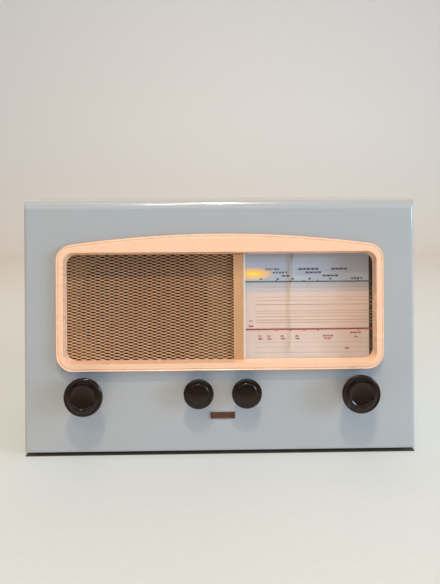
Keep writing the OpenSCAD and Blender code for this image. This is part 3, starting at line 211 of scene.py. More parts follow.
# painted shadow: the table is painted dark where the set stands, because hardly any light gets under it
stand_half_wide, stand_half_deep, stand_y = 0.2345, 0.0985, 0.0105
in_width = reckon(top, "LESS_THAN", reckon(top, "ABSOLUTE", place["X"]), stand_half_wide)
from_middle = reckon(top, "ABSOLUTE", reckon(top, "SUBTRACT", place["Y"], stand_y))
in_depth = reckon(top, "LESS_THAN", from_middle, stand_half_deep)
top_seen = tint(top, reckon(top, "MULTIPLY", in_width, in_depth), top_seen, shade(84, 76, 68))
tone = tint(top, ray["Is Camera Ray"], shade(234, 233, 231), top_seen)
# painted reflection: glossy rays see the table brighter just in front of the set, dimmer farther out, and
# warm on the far wall
table_painted_reflection = tint(top, rescale(top, place["Y"], -0.34, -0.21), shade(128, 98, 80), shade(200, 190, 184))
table_painted_reflection = tint(top, far, table_painted_reflection, shade(248, 228, 204))
tone = tint(top, ray["Is Glossy Ray"], tone, table_painted_reflection)
top_shader = top.nodes["Principled BSDF"]
top.links.new(tone, top_shader.inputs["Base Color"])
top_shader.inputs["Roughness"].default_value = 0.62
table.data.materials.append(laminate)


# The case: one pressed-steel shell, stove-enamelled pale blue-grey to a gloss,
# with a rolled brow. A phosphated base plate is screwed in from below, and
# the whole set stands on four rubber feet.
def make_effect(name, inputs, output):
    """An empty shader node group with its sockets named."""
    effect = bpy.data.node_groups.new(name, "ShaderNodeTree")
    for label, value in inputs.items():
        kind = "NodeSocketVector" if isinstance(value, tuple) else "NodeSocketFloat"
        effect.interface.new_socket(label, in_out="INPUT", socket_type=kind).default_value = value
    effect.interface.new_socket(output, in_out="OUTPUT", socket_type="NodeSocketFloat")
    return effect, effect.nodes.new("NodeGroupInput").outputs, effect.nodes.new("NodeGroupOutput").inputs


def stretched(tree, by):
    """The place on the piece, drawn out along each axis."""
    at = lay(tree, "ShaderNodeTexCoord").outputs["Object"]
    return lay(tree, "ShaderNodeVectorMath", {0: at, 1: by}, operation="MULTIPLY").outputs[0]


# clouds: the slow, soft unevenness of a coat or a casting
inputs = {"Size": 0.05, "Stretch": (1.0, 1.0, 1.0), "Contrast": 0.3}
clouds, asked, given = make_effect("clouds", inputs, "Mask")
fineness = reckon(clouds, "DIVIDE", 1.0, asked["Size"])
cloud = noise(clouds, stretched(clouds, asked["Stretch"]), fineness, 4.0, 0.55)
low = reckon(clouds, "SUBTRACT", 0.5, asked["Contrast"])
high = reckon(clouds, "ADD", 0.5, asked["Contrast"])
clouds.links.new(rescale(clouds, cloud, low, high), given["Mask"])

# rubbed edges: where hands and cloths thin a coat on the corners; on the peach moulding the same lighter
# edge is a painted highlight along its bead
inputs = {"Width": 0.0012, "Breakup": 90.0, "Amount": 1.0}
worn_and_lit_edges, asked, given = make_effect("worn_and_lit_edges", inputs, "Mask")
rounded = lay(worn_and_lit_edges, "ShaderNodeBevel", {"Radius": asked["Width"]}, samples=4).outputs[0]
true_way = lay(worn_and_lit_edges, "ShaderNodeNewGeometry").outputs["Normal"]
turn = lay(worn_and_lit_edges, "ShaderNodeVectorMath", {0: rounded, 1: true_way}, operation="DOT_PRODUCT")
edge = rescale(worn_and_lit_edges, turn.outputs["Value"], 0.995, 0.86)
at = lay(worn_and_lit_edges, "ShaderNodeTexCoord").outputs["Object"]
broken = rescale(worn_and_lit_edges, noise(worn_and_lit_edges, at, asked["Breakup"], 5.0), 0.42, 0.62)
worn_and_lit_mask = reckon(worn_and_lit_edges, "MULTIPLY", reckon(worn_and_lit_edges, "MULTIPLY", edge, broken), asked["Amount"])
worn_and_lit_edges.links.new(worn_and_lit_mask, given["Mask"])

# settled dust: what lies on the faces that look up
dust, asked, given = make_effect("settled_dust", {"Amount": 0.3, "Grain": 60.0}, "Mask")
parts = lay(dust, "ShaderNodeSeparateXYZ", {0: lay(dust, "ShaderNodeNewGeometry").outputs["Normal"]})
up = rescale(dust, parts.outputs["Z"], 0.55, 1.0)
at = lay(dust, "ShaderNodeTexCoord").outputs["Object"]
thick = rescale(dust, noise(dust, at, asked["Grain"], 6.0, 0.65), 0.35, 0.7)
laid = reckon(dust, "MULTIPLY", reckon(dust, "MULTIPLY", up, thick), asked["Amount"])
dust.links.new(laid, given["Mask"])

# fine grain: the small relief of a surface, as a height
grain, asked, given = make_effect("fine_grain", {"Fineness": 900.0, "Stretch": (1.0, 1.0, 1.0)}, "Height")
pores = noise(grain, stretched(grain, asked["Stretch"]), asked["Fineness"], 3.0, 0.6)
grain.links.new(pores, given["Height"])


def use_effect(tree, effect, **sockets):
    """Places a node group in a material, with its own values."""
    node = tree.nodes.new("ShaderNodeGroup")
    node.node_tree = effect
    for socket, value in sockets.items():
        node.inputs[socket].default_value = value
    return node.outputs[0]


def finish(name, colour, patch, rough, patch_size=0.05, stretch=(1, 1, 1), contrast=0.3, metal=0.0,
           fineness=900.0, relief=0.1, depth=0.0002, edge=None, edge_width=0.0012, edge_amount=0.6,
           dusty=0.0, coat=0.0):
    """A whole finish: two tones in soft clouds, lighter edges that stand for wear and, on the moulding, a
    painted highlight, dust, and a fine relief.
    """
    made = bpy.data.materials.new(name)
    made.use_nodes = True
    tree = made.node_tree
    shader = tree.nodes["Principled BSDF"]
    cloud = use_effect(tree, clouds, Size=patch_size, Stretch=stretch, Contrast=contrast)
    tone = tint(tree, cloud, colour, patch)
    if edge:
        tone = tint(tree, use_effect(tree, worn_and_lit_edges, Width=edge_width, Amount=edge_amount), tone, edge)
    if dusty:
        tone = tint(tree, use_effect(tree, dust, Amount=dusty), tone, shade(150, 143, 130))
    tree.links.new(tone, shader.inputs["Base Color"])
    half_spread, smoothest = 0.04, 0.02
    uneven = rescale(tree, cloud, 0.0, 1.0, max(smoothest, rough - half_spread), rough + half_spread)
    tree.links.new(uneven, shader.inputs["Roughness"])
    pores = use_effect(tree, grain, Fineness=fineness, Stretch=stretch)
    bump = lay(tree, "ShaderNodeBump", {"Height": pores, "Strength": relief, "Distance": depth})
    tree.links.new(bump.outputs[0], shader.inputs["Normal"])
    shader.inputs["Metallic"].default_value = metal
    if coat:
        shader.inputs["Coat Weight"].default_value = coat
        shader.inputs["Coat Roughness"].default_value = 0.06
    return made


def coat_nodes(made, *names):
    """Gives carried-over solids their finish."""
    for name in names:
        for place in nodes[name].material_slots:
            place.material = made


enamel = finish("stove_enamel", shade(168, 172, 175), shade(163, 172, 181), 0.2, patch_size=0.16,
                relief=0.035, fineness=260.0, depth=0.0004, edge=shade(196, 200, 198), edge_amount=0.35,
                dusty=0.06, coat=0.5)
coat_nodes(enamel, "case_shell")
dull_steel = finish("phosphated_steel", shade(58, 58, 58), shade(44, 43, 42), 0.5, patch_size=0.03,
                    metal=0.6, relief=0.15, edge=shade(120, 118, 112), dusty=0.2)
coat_nodes(dull_steel, "base_plate")
bright_steel = finish("zinc_plated_steel", shade(176, 174, 166), shade(148, 145, 136), 0.36,
                      patch_size=0.012, metal=1.0, fineness=1600.0, relief=0.12, dusty=0.25,
                      edge=shade(208, 206, 200), edge_amount=0.4)
coat_nodes(bright_steel, "base_screws")
black_rubber = finish("black_rubber", shade(30, 29, 28), shade(42, 40, 38), 0.75, patch_size=0.008,
                      relief=0.3, fineness=2200.0, dusty=0.3)
coat_nodes(black_rubber, "rubber_feet")


# The surround: a peach plastic moulding with a raised bead round its arched
# outline, pushed through the front of the case and held by steel clips.
def box_of(node):
    """A solid's lowest and highest corners, to a hundredth of a millimetre."""
    return [[round(float(value), 5) for value in corner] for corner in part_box(node)]


panel_face = box_of("case_shell")[0][1]
(_, _, surround_low), (surround_half, sheet_face, surround_high) = box_of("surround")
surround_middle = (surround_low + surround_high) / 2
arch_radius, arch_cuts = 1.326, 47
top_corner, foot_corner = 0.016, 0.021
# the window is as high as the divider that stands in it
window_low, window_high = (corner[2] for corner in box_of("divider_strip"))
window_middle = (window_low + window_high) / 2
rim_wide = 0.009
window_half = surround_half - rim_wide
window_corner = 0.0115
collar_wall = 0.003


def begin(kind, name, spans=(1, 1, 1), **where):
    """Adds a primitive at its size and place and opens it for shaping, with nothing selected."""
    bpy.ops.object.select_all(action="DESELECT")
    getattr(bpy.ops.mesh, "primitive_" + kind + "_add")(**where)
    piece = bpy.context.object
    piece.name = piece.data.name = name
    piece.scale = spans
    bpy.ops.object.transform_apply(location=True, rotation=True, scale=True)
    bpy.ops.object.mode_set(mode="EDIT")
    bpy.ops.mesh.select_all(action="DESELECT")
    return piece


def pick(piece, kind, wanted):
    """Selects only the verts, edges or faces whose middle and direction pass the test."""
    bpy.ops.mesh.select_mode(type={"verts": "VERT", "edges": "EDGE", "faces": "FACE"}[kind])
    bpy.ops.mesh.select_all(action="DESELECT")
    shape = bmesh.from_edit_mesh(piece.data)
    found = []
    for part in getattr(shape, kind):
        if kind == "verts":
            middle, way = part.co.copy(), part.normal.copy()
        elif kind == "edges":
            start, end = part.verts[0].co, part.verts[1].co
            middle, way = (start + end) / 2, end - start
        else:
            middle, way = part.calc_center_median(), part.normal.copy()
        if wanted(middle, way):
            part.select_set(True)
            found.append(middle)
    shape.select_flush_mode()
    bmesh.update_edit_mesh(piece.data)
    return found


def pick_all(kind):
    """Selects the whole piece, as verts, edges or faces."""
    bpy.ops.mesh.select_mode(type=kind)
    bpy.ops.mesh.select_all(action="SELECT")


def move(x, y, z):
    """Shifts what is selected."""
    bpy.ops.transform.translate(value=(x, y, z))


def pull(x, y, z):
    """Extrudes what is selected."""
    bpy.ops.mesh.extrude_region_move(TRANSFORM_OT_translate={"value": (x, y, z)})


def take_up(*pieces):
    """Selects only these objects; the last is the active one."""
    bpy.ops.object.select_all(action="DESELECT")
    for piece in pieces:
        piece.select_set(True)
        bpy.context.view_layer.objects.active = piece


def close_up(piece, angle=32):
    """Merges doubles, turns every face outwards and ends the shaping."""
    bpy.ops.mesh.select_all(action="SELECT")
    bpy.ops.mesh.remove_doubles(threshold=0.000002)
    bpy.ops.mesh.normals_make_consistent(inside=False)
    bpy.ops.object.mode_set(mode="OBJECT")
    take_up(piece)
    bpy.ops.object.shade_smooth_by_angle(angle=math.radians(angle))


def modify(piece, kind, **settings):
    """Adds a modifier with its settings and applies it."""
    take_up(piece)
    added = piece.modifiers.new(kind.lower(), kind)
    for key, value in settings.items():
        setattr(added, key, value)
    bpy.ops.object.modifier_apply(modifier=added.name)


def cut_with(piece, tool, operation):
    """Joins, cuts or crosses a piece with a tool shape, which is then thrown away."""
    modify(piece, "BOOLEAN", object=tool, operation=operation, solver="EXACT")
    bpy.data.objects.remove(tool)


def fit(piece, made, body, slot, *replaced):
    """Gives a piece its finish, the body it moves with, and the solids it stands for."""
    piece.data.materials.clear()
    piece.data.materials.append(made)
    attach(piece, body)
    if replaced:
        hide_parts(*replaced)
    bpy.ops.object.select_all(action="DESELECT")


def arch_drop(x):
    """How far the arched top lies under its crown at x."""
    return arch_radius - math.sqrt(arch_radius ** 2 - x ** 2)


facing_front = (math.pi / 2, 0, 0)
surround = begin("plane", "surround_moulding", (2 * surround_half, surround_high - surround_low, 1), size=1,
                 location=(0, panel_face, surround_middle), rotation=facing_front)
pick(surround, "verts", lambda at, _: at.z > surround_middle)
bpy.ops.mesh.bevel(offset=top_corner, affect="VERTICES", segments=10, profile=0.5)
pick(surround, "verts", lambda at, _: at.z < surround_low + 1e-6 and abs(at.x) > surround_half - 1e-6)
bpy.ops.mesh.bevel(offset=foot_corner, affect="VERTICES", segments=10, profile=0.5)
pick(surround, "edges", lambda at, along: at.z > surround_high - 1e-5 and abs(along.x) > surround_half)
bpy.ops.mesh.subdivide(number_cuts=arch_cuts)
for x in sorted({round(at.x, 6) for at in pick(surround, "verts", lambda at, _: at.z > surround_middle)}):
    pick(surround, "verts", lambda at, _: at.z > surround_middle and abs(at.x - x) < 1.5e-6)
    move(0, 0, -arch_drop(x))
pick_all("FACE")
# the outline from the panel forward: side, bead, groove, and the flat of the face
for step_in, step_out in ((0.00005, 0.0042), (0.00035, 0.0016), (0.0006, 0.0008), (0.0006, 0.0001),
                          (0.0005, -0.00035), (0.0003, -0.0005), (0.0004, 0.0), (0.0004, 0.0006),
                          (0.0006, 0.0004)):
    bpy.ops.mesh.inset(thickness=step_in, depth=step_out)
pick(surround, "edges", lambda at, along: abs(at.y - panel_face) < 1e-6)
bpy.ops.mesh.edge_face_add()
close_up(surround, 40)

# the collar behind the face reaches through the panel to the grille and the glass
collar_wide, collar_high = 2 * window_half + 2 * collar_wall, window_high - window_low + 2 * collar_wall
collar_lap = 0.0015
collar = begin("plane", "collar", (collar_wide, collar_high, 1), size=1,
               location=(0, sheet_face, window_middle), rotation=facing_front)
bpy.ops.mesh.select_all(action="SELECT")
bpy.ops.mesh.bevel(offset=window_corner + collar_wall, affect="VERTICES", segments=10, profile=0.5)
pick_all("FACE")
pull(0, panel_face - collar_lap - sheet_face, 0)
close_up(collar)
cut_with(surround, collar, "UNION")

# the window is cut through, with its roof rising to the front
roof_rise, reveal_deep, roof_corner = 0.004, 0.015, 0.012
cutter_front, cutter_back = -0.11, -0.06
window = begin("plane", "window_cutter", (2 * window_half, window_high - window_low, 1), size=1,
               location=(0, cutter_front, window_middle), rotation=facing_front)
bpy.ops.mesh.select_all(action="SELECT")
bpy.ops.mesh.bevel(offset=window_corner, affect="VERTICES", segments=10, profile=0.5)
pick_all("FACE")
pull(0, cutter_back - cutter_front, 0)
for end in (cutter_front, cutter_back):
    pick(window, "verts", lambda at, _: abs(at.y - end) < 0.01 and at.z > window_high - roof_corner)
    move(0, 0, (sheet_face - end) * roof_rise / reveal_deep)
close_up(window)
cut_with(surround, window, "DIFFERENCE")
bpy.ops.object.shade_smooth_by_angle(angle=math.radians(30))
# the pale cream edge tone here is a painted highlight along the rim of the moulding's bead
peach = finish("peach_plastic", shade(243, 201, 171), shade(238, 193, 163), 0.28, patch_size=0.03,
               stretch=(0.35, 1, 1.6), relief=0.05, fineness=520.0, edge=shade(255, 240, 222),
               edge_width=0.0008, edge_amount=0.9, dusty=0.05, coat=0.25)
fit(surround, peach, "cabinet", "peach_plastic", "surround")
coat_nodes(bright_steel, "surround_clips")


# The speaker grille: one thin brassed sheet, slit in staggered rows and drawn
# out into tilted wavy strands. It is clamped between the moulding and a
# fibre baffle board that carries the loudspeaker behind a round hole.
mesh_pitch, mesh_rise = 0.0114, 0.0037
mesh_columns, mesh_rows = 20, 38
strand_wide, strand_thick, strand_tilt = 0.0006, 0.00022, math.radians(50)
strand_high = strand_wide * 0.8
strand_steps = 8
strand_y = sheet_face + 0.00045
(grille_left, _, grille_low), (sheet_end, _, grille_high) = box_of("grille_mesh")
grille_right = sheet_end - 0.0002
first_foot = grille_low - 0.001
grille = begin("cube", "expanded_grille", (mesh_pitch, strand_thick, strand_wide), size=1,
               location=(grille_left - mesh_pitch / 2, strand_y, first_foot))
bpy.ops.mesh.select_all(action="SELECT")
bpy.ops.transform.rotate(value=strand_tilt, orient_axis="X", center_override=(0, strand_y, first_foot))
pick(grille, "faces", lambda at, way: abs(way.x) > 0.9)
bpy.ops.mesh.delete(type="ONLY_FACE")
pick(grille, "edges", lambda at, along: abs(along.x) > mesh_pitch / 2)
bpy.ops.mesh.subdivide(number_cuts=strand_steps - 1)
half_gap = (mesh_rise / 2 - strand_high) / 2
drawn_forward = 0.00006
for step, drawn_out in enumerate((1, 0.85, 0.3, -0.4, -0.9, -1, -0.5, 0.4, 1)):
    x = grille_left - mesh_pitch + step * mesh_pitch / strand_steps
    pick(grille, "verts", lambda at, _: abs(at.x - x) < 1e-5)
    move(0, drawn_forward * drawn_out, half_gap * drawn_out)
bpy.ops.object.mode_set(mode="OBJECT")
modify(grille, "ARRAY", count=mesh_columns, use_relative_offset=False, use_constant_offset=True,
       constant_offset_displace=(mesh_pitch, 0, 0), use_merge_vertices=True, merge_threshold=0.00001)
for count, away in ((2, (mesh_pitch / 2, 0, mesh_rise / 2)), (mesh_rows, (0, 0, mesh_rise))):
    modify(grille, "ARRAY", count=count, use_relative_offset=False, use_constant_offset=True,
           constant_offset_displace=away)
bpy.ops.object.mode_set(mode="EDIT")
for place, way in (((grille_left, 0, 0), (-1, 0, 0)), ((grille_right, 0, 0), (1, 0, 0)),
                   ((0, 0, grille_low), (0, 0, -1)), ((0, 0, grille_high), (0, 0, 1))):
    bpy.ops.mesh.select_all(action="SELECT")
    bpy.ops.mesh.bisect(plane_co=place, plane_no=way, clear_outer=True, use_fill=True)
close_up(grille, 40)
brassed = finish("brassed_mesh", shade(246, 206, 167), shade(230, 185, 142), 0.34, patch_size=0.014,
                 metal=0.35, fineness=1500.0, relief=0.1)
fit(grille, brassed, "cabinet", "brass_mesh", "grille_mesh")
baffle_fibre = finish("baffle_board_fibre", shade(78, 66, 42), shade(64, 54, 34), 0.8, patch_size=0.006,
                      stretch=(1, 1, 0.4), fineness=700.0, relief=0.35)
coat_nodes(baffle_fibre, "baffle_board")
coat_nodes(bright_steel, "trim_straps", "trim_nuts")


# The divider between grille and dial: a reeded tan plastic strip with a bright
# metal beading let into the step along its right-hand edge.
(divider_left, divider_front, _), (divider_right, _, _) = box_of("divider_strip")
beading_wide, beading_deep = 0.0025, 0.0023
strip_right = divider_right - beading_wide
strip_wide, strip_deep = strip_right - divider_left, sheet_face - divider_front
window_rise = window_high - window_low
reeds, reed_groove = 18, 0.0003
divider = begin("cube", "reeded_divider", (strip_wide, strip_deep, window_rise), size=1,
                location=(divider_left + strip_wide / 2, divider_front + strip_deep / 2, window_middle))
pick(divider, "edges", lambda at, along: abs(along.x) > 0.005)
bpy.ops.mesh.subdivide(number_cuts=reeds - 1)
for groove in range(1, reeds, 2):
    x = divider_left + groove * strip_wide / reeds
    pick(divider, "verts", lambda at, _: abs(at.x - x) < 1e-5 and at.y < divider_front + 1e-5)
    move(0, reed_groove, 0)
close_up(divider, 70)
tan_plastic = finish("tan_plastic", shade(202, 158, 116), shade(190, 146, 104), 0.35, patch_size=0.012,
                     stretch=(1, 1, 0.2), relief=0.05, edge=shade(232, 196, 152))
fit(divider, tan_plastic, "cabinet", "tan_plastic", "divider_strip")
beading = begin("cube", "divider_beading", (beading_wide, beading_deep, window_rise), size=1,
                location=(divider_right - beading_wide / 2, sheet_face - beading_deep / 2, window_middle))
pick(beading, "edges", lambda at, along: abs(along.z) > 0.05 and at.y < sheet_face - 0.002)
bpy.ops.mesh.bevel(offset=0.0007, segments=4, profile=0.5)
close_up(beading, 50)
# painted reflection: the beading's pale tone stands in for the bright sheen of its silvered metal
silvered = finish("silvered_beading", shade(236, 222, 208), shade(222, 206, 190), 0.3, patch_size=0.01,
                  metal=0.15, relief=0.05)
fit(beading, silvered, "cabinet", "tan_plastic")


# The dial: a sheet of clear glass with the scale printed on its back in thin
# black, green, red and orange ink. Only plain figures and rules are printed.
clear_glass = bpy.data.materials.new("clear_glass")
clear_glass.use_nodes = True
pane = clear_glass.node_tree
pane_shader = pane.nodes["Principled BSDF"]
pane_shader.inputs["Base Color"].default_value = shade(236, 240, 236)
pane_shader.inputs["Transmission Weight"].default_value = 1.0
pane_shader.inputs["IOR"].default_value = 1.5
haze = rescale(pane, use_effect(pane, clouds, Size=0.03, Contrast=0.2), 0.0, 1.0, 0.0, 0.04)
pane.links.new(haze, pane_shader.inputs["Roughness"])
passing = lay(pane, "ShaderNodeLightPath").outputs["Is Shadow Ray"]
open_air = lay(pane, "ShaderNodeBsdfTransparent", {"Color": shade(244, 247, 244)})
let_by = lay(pane, "ShaderNodeMixShader", {0: passing, 1: pane_shader.outputs[0], 2: open_air.outputs[0]})
pane.links.new(let_by.outputs[0], pane.nodes["Material Output"].inputs["Surface"])
coat_nodes(clear_glass, "dial_glass")

print_face = box_of("dial_glass")[1][1] + 0.00004
ink_thick = 0.00003
cells_a_tick, ticked_cell = 16, 4
figure_thick, figure_bold, figure_share = 0.00002, 0.0002, 0.7


def ink(name, colour, thin):
    """A printing ink that lies a little unevenly."""
    return finish(name, colour, thin, 0.5, patch_size=0.006, contrast=0.2, fineness=3000.0, relief=0.05)


def print_rules(name, made, rules):
    """Ruled lines: left, right, height, thickness, and the spacing and length of the ticks."""
    sheet = None
    for left, right, z, thick, gap, tick in rules:
        line = begin("plane", name, (right - left, thick, 1), size=1,
                     location=((left + right) / 2, print_face, z), rotation=facing_front)
        cuts = int(4 * (right - left) / gap) * cells_a_tick // 4 if gap else 3
        pick(line, "edges", lambda at, along: abs(along.x) > 0.001)
        bpy.ops.mesh.subdivide(number_cuts=cuts)
        if gap:
            cell = (right - left) / (cuts + 1)
            pick(line, "edges", lambda at, along: abs(along.x) > cell / 2 and (at.z - z) * tick > 0
                 and int(round((at.x - left) / cell - 0.5)) % cells_a_tick == ticked_cell)
            pull(0, 0, tick)
        pick_all("FACE")
        pull(0, -ink_thick, 0)
        bpy.ops.mesh.select_all(action="SELECT")
        bpy.ops.mesh.normals_make_consistent(inside=False)
        bpy.ops.object.mode_set(mode="OBJECT")
        if sheet:
            take_up(line, sheet)
            bpy.ops.object.join()
        sheet = sheet or line
    fit(sheet, made, "cabinet", "dial_paint")


def print_figures(name, made, rows):
    """Plain figures in rows: foot, height, and the words with their left edges."""
    bpy.ops.object.select_all(action="DESELECT")
    written = []
    for foot, height, row in rows:
        for words, left in row:
            bpy.ops.object.text_add(location=(left, print_face, foot), rotation=facing_front)
            text = bpy.context.object
            text.data.body = words
            text.data.size = height / figure_share
            text.data.resolution_u = 2
            text.data.extrude = figure_thick
            text.data.offset = figure_bold
            written.append(text)
    take_up(*reversed(written))
    bpy.ops.object.convert(target="MESH")
    bpy.ops.object.join()
    sheet = bpy.context.object
    sheet.name = sheet.data.name = name
    bpy.ops.object.transform_apply(location=True, rotation=True, scale=True)
    fit(sheet, made, "cabinet", "dial_paint")


black_ink = ink("black_ink", shade(22, 21, 24), shade(32, 30, 34))
green_ink = ink("green_ink", shade(64, 96, 80), shade(80, 108, 92))
red_ink = ink("red_ink", shade(168, 74, 72), shade(180, 92, 86))
orange_ink = ink("orange_ink", shade(206, 152, 122), shade(214, 164, 136))
grey_ink = ink("grey_ink", shade(176, 160, 152), shade(186, 170, 162))
scale_left, scale_right, tick_gap = 0.0305, 0.1868, 0.0168
print_rules("green_rule", green_ink, [(scale_left, scale_right, 0.2050, 0.0016, tick_gap, 0.0012)])
print_rules("red_rule", red_ink, [(scale_left, scale_right, 0.1468, 0.0021, tick_gap, -0.0014)])
orange_lines = ((0.1861, 0.0004), (0.1820, 0.0006), (0.1769, 0.0009), (0.1691, 0.0006), (0.1663, 0.0005),
                (0.1622, 0.0006), (0.1581, 0.0007), (0.1549, 0.0006), (0.1935, 0.0003), (0.1982, 0.0003))
print_rules("orange_rules", orange_ink,
            [(0.0430, scale_right, z, thick, 0, 0) for z, thick in orange_lines])
print_rules("grey_rules", grey_ink,
            [(0.0400, scale_right, z, 0.0003, 0, 0) for z in (0.1249, 0.1182, 0.1306)])
tall, short = 0.0020, 0.0018
print_figures("black_figures", black_ink, (
    (0.2194, tall, (("13 16 19 25 31", 0.0550), ("200 250 300 350 400", 0.0957),
                    ("450 500 550 600", 0.1360))),
    (0.2151, tall, (("41 49 60 75 90", 0.0645), ("220 260 310 370", 0.1042))),
    (0.2111, tall, (("100 120", 0.0749), ("420 480 540 580", 0.1250))),
    (0.2074, tall, (("10", 0.0480), ("20", 0.0688), ("30", 0.0871), ("40", 0.1079), ("50", 0.1335))),
    (0.2076, tall, (("60 70 80 90", 0.1605),))))
print_figures("red_figures", red_ink, (
    (0.1497, tall, (("2000", 0.0345),)),
    (0.1375, short, (("190", 0.0456), ("210", 0.0569), ("250", 0.0735), ("300", 0.0915),
                     ("350 400 450", 0.1250))),
    (0.1343, short, (("1580", 0.0456), ("1430", 0.0569), ("1200", 0.0735), ("1000", 0.0915),
                     ("860 750", 0.1270))),
    (0.1412, short, (("500 550 600", 0.1590),)),
    (0.1360, short, (("545", 0.1640),)),
    (0.1222, short, (("1500", 0.1520),))))
print_figures("grey_figures", grey_ink, ((0.1565, 0.0015, (("1000", 0.0345),)),))


# Behind the glass: the cream-painted dial plate, with a small lamp at its left end
# that shines through a hole, and the pointer that slides in front of it along a
# steel rail. The lamp's glow on the plate, and a faint even light over all of it,
# are painted on as emission.
glow_x, glow_z, glow_wide, glow_high = 0.0405, 0.2140, 0.028, 0.0085
dial_paint = finish("dial_paint", shade(234, 207, 202), shade(228, 200, 195), 0.6, patch_size=0.03,
                    fineness=1200.0, relief=0.05)
painted = dial_paint.node_tree
paint_shader = painted.nodes["Principled BSDF"]
at = lay(painted, "ShaderNodeTexCoord").outputs["Object"]
across = lay(painted, "ShaderNodeSeparateXYZ", {0: at}).outputs
glow_place = (-glow_x / glow_wide, 0.0, -glow_z / glow_high)
glow_scale = (1 / glow_wide, 0.0, 1 / glow_high)
centred = lay(painted, "ShaderNodeMapping", {"Vector": at, "Location": glow_place, "Scale": glow_scale})
reach = lay(painted, "ShaderNodeVectorMath", {0: centred.outputs[0]}, operation="LENGTH").outputs["Value"]
# painted light: the emission runs from the lamp's warm spot out to a faint even glow over the plate
glow = ramp(painted, reach, (0.0, shade(236, 196, 70)), (0.55, shade(206, 138, 62)),
            (1.0, shade(110, 104, 104)))
glow.color_ramp.interpolation = "EASE"
paint_shader.inputs["Emission Strength"].default_value = 1.0
plate_tone_with_painted_light = paint_shader.inputs["Base Color"].links[0].from_socket
# painted shade: the plate turns blue-grey towards the top, under the window's roof
plate_tone_with_painted_light = tint(painted, rescale(painted, across["Z"], 0.186, 0.207), plate_tone_with_painted_light, shade(214, 216, 238))
# painted light: the paint is warmed yellow round the lamp's spot
plate_tone_with_painted_light = tint(painted, rescale(painted, reach, 0.3, 1.0, 1.0, 0.0), plate_tone_with_painted_light, shade(255, 212, 112))
# painted shadow: past the end of the scale the plate is painted dark brown and gets no glow
painted_end_shade = reckon(painted, "GREATER_THAN", across["X"], 0.1845)
plate_tone_with_painted_light = tint(painted, painted_end_shade, plate_tone_with_painted_light, shade(70, 50, 38))
painted.links.new(plate_tone_with_painted_light, paint_shader.inputs["Base Color"])
lit = tint(painted, painted_end_shade, glow.outputs["Color"], shade(0, 0, 0))
painted.links.new(lit, paint_shader.inputs["Emission Color"])
coat_nodes(dial_paint, "dial_plate")
lamp_glass = bpy.data.materials.new("lit_lamp_glass")
lamp_glass.use_nodes = True
bulb = lamp_glass.node_tree
bulb_shader = bulb.nodes["Principled BSDF"]
flicker = use_effect(bulb, clouds, Size=0.004, Contrast=0.25)
bulb_lit = tint(bulb, flicker, shade(255, 214, 120), shade(255, 176, 84))
bulb.links.new(bulb_lit, bulb_shader.inputs["Emission Color"])
bulb_shader.inputs["Base Color"].default_value = shade(240, 214, 160)
bulb_shader.inputs["Emission Strength"].default_value = 1.6
bulb_shader.inputs["Roughness"].default_value = 0.15
coat_nodes(lamp_glass, "dial_lamp")
coat_nodes(bright_steel, "lamp_holder", "pointer_rail", "pointer_carriage")
gilt = finish("gilt_needle", shade(252, 236, 230), shade(244, 226, 218), 0.35, patch_size=0.006, relief=0.05)
coat_nodes(gilt, "pointer_needle")


# The two large knobs, volume and tuning: brown bakelite mouldings that widen
# from the neck to a thin rolled rim round a dished face. Each is pushed on
# its steel spindle over a felt washer.
knob_back = box_of("volume_knob")[1][1]
spindles = {joint["child"]: joint["pos_m"] for joint in frame["joints"] if joint["type"] == "hinge"}


def turned(name, x, z, profile):
    """A piece spun round a level axis; the profile is pairs of radius and distance forward, in mm."""
    piece = begin("plane", name, size=0.001, location=(x, knob_back, z))
    pick_all("VERT")
    bpy.ops.mesh.merge(type="CENTER")
    radius, forward = profile[0]
    move(radius / 1000, -forward / 1000, 0)
    for next_radius, next_forward in profile[1:]:
        pull((next_radius - radius) / 1000, -(next_forward - forward) / 1000, 0)
        radius, forward = next_radius, next_forward
    bpy.ops.mesh.select_all(action="SELECT")
    bpy.ops.mesh.spin(steps=96, angle=2 * math.pi, center=(x, knob_back, z), axis=(0, 1, 0))
    return piece


bakelite = finish("brown_bakelite", shade(21, 12, 10), shade(15, 8, 6), 0.16, patch_size=0.011,
                  contrast=0.22, fineness=420.0, relief=0.03, edge=shade(60, 42, 34), edge_width=0.0005,
                  edge_amount=0.3, dusty=0.03)
large_profile = (
    (0, 15.3), (3.05, 15.3), (3.05, 0.4), (3.5, 0), (12.2, 0), (13, 0.25), (13.7, 1), (14.1, 2.4),
    (14.5, 4), (15.3, 6.5), (16.4, 8.7), (18.2, 11.4), (20, 14.1), (21.2, 15.8), (21.95, 16.95),
    (22.3, 17.8), (22.4, 18.7), (22.3, 19.6), (21.95, 20.3), (21.4, 20.85), (20.6, 21.1), (19.9, 20.95),
    (19.3, 20.6), (18.6, 20.6), (17.4, 21), (15.9, 21.5), (14.7, 21.7), (13.9, 21.6), (13.3, 21.3),
    (12.9, 20.85), (12.3, 20.55), (9.5, 20.15), (6, 19.85), (3, 19.65), (0, 19.6))
for body in ("volume", "tuning"):
    x, _, z = spindles[body]
    knob = turned(body + "_knob_moulding", x, z, large_profile)
    close_up(knob, 30)
    fit(knob, bakelite, body, "bakelite", body + "_knob")
coat_nodes(bright_steel, "volume_spindle", "tuning_spindle", "tone_spindle", "wave_spindle")
felt = finish("dark_felt", shade(44, 40, 38), shade(56, 50, 47), 0.95, patch_size=0.002, relief=0.6,
              fineness=1800.0)
coat_nodes(felt, "knob_felts")


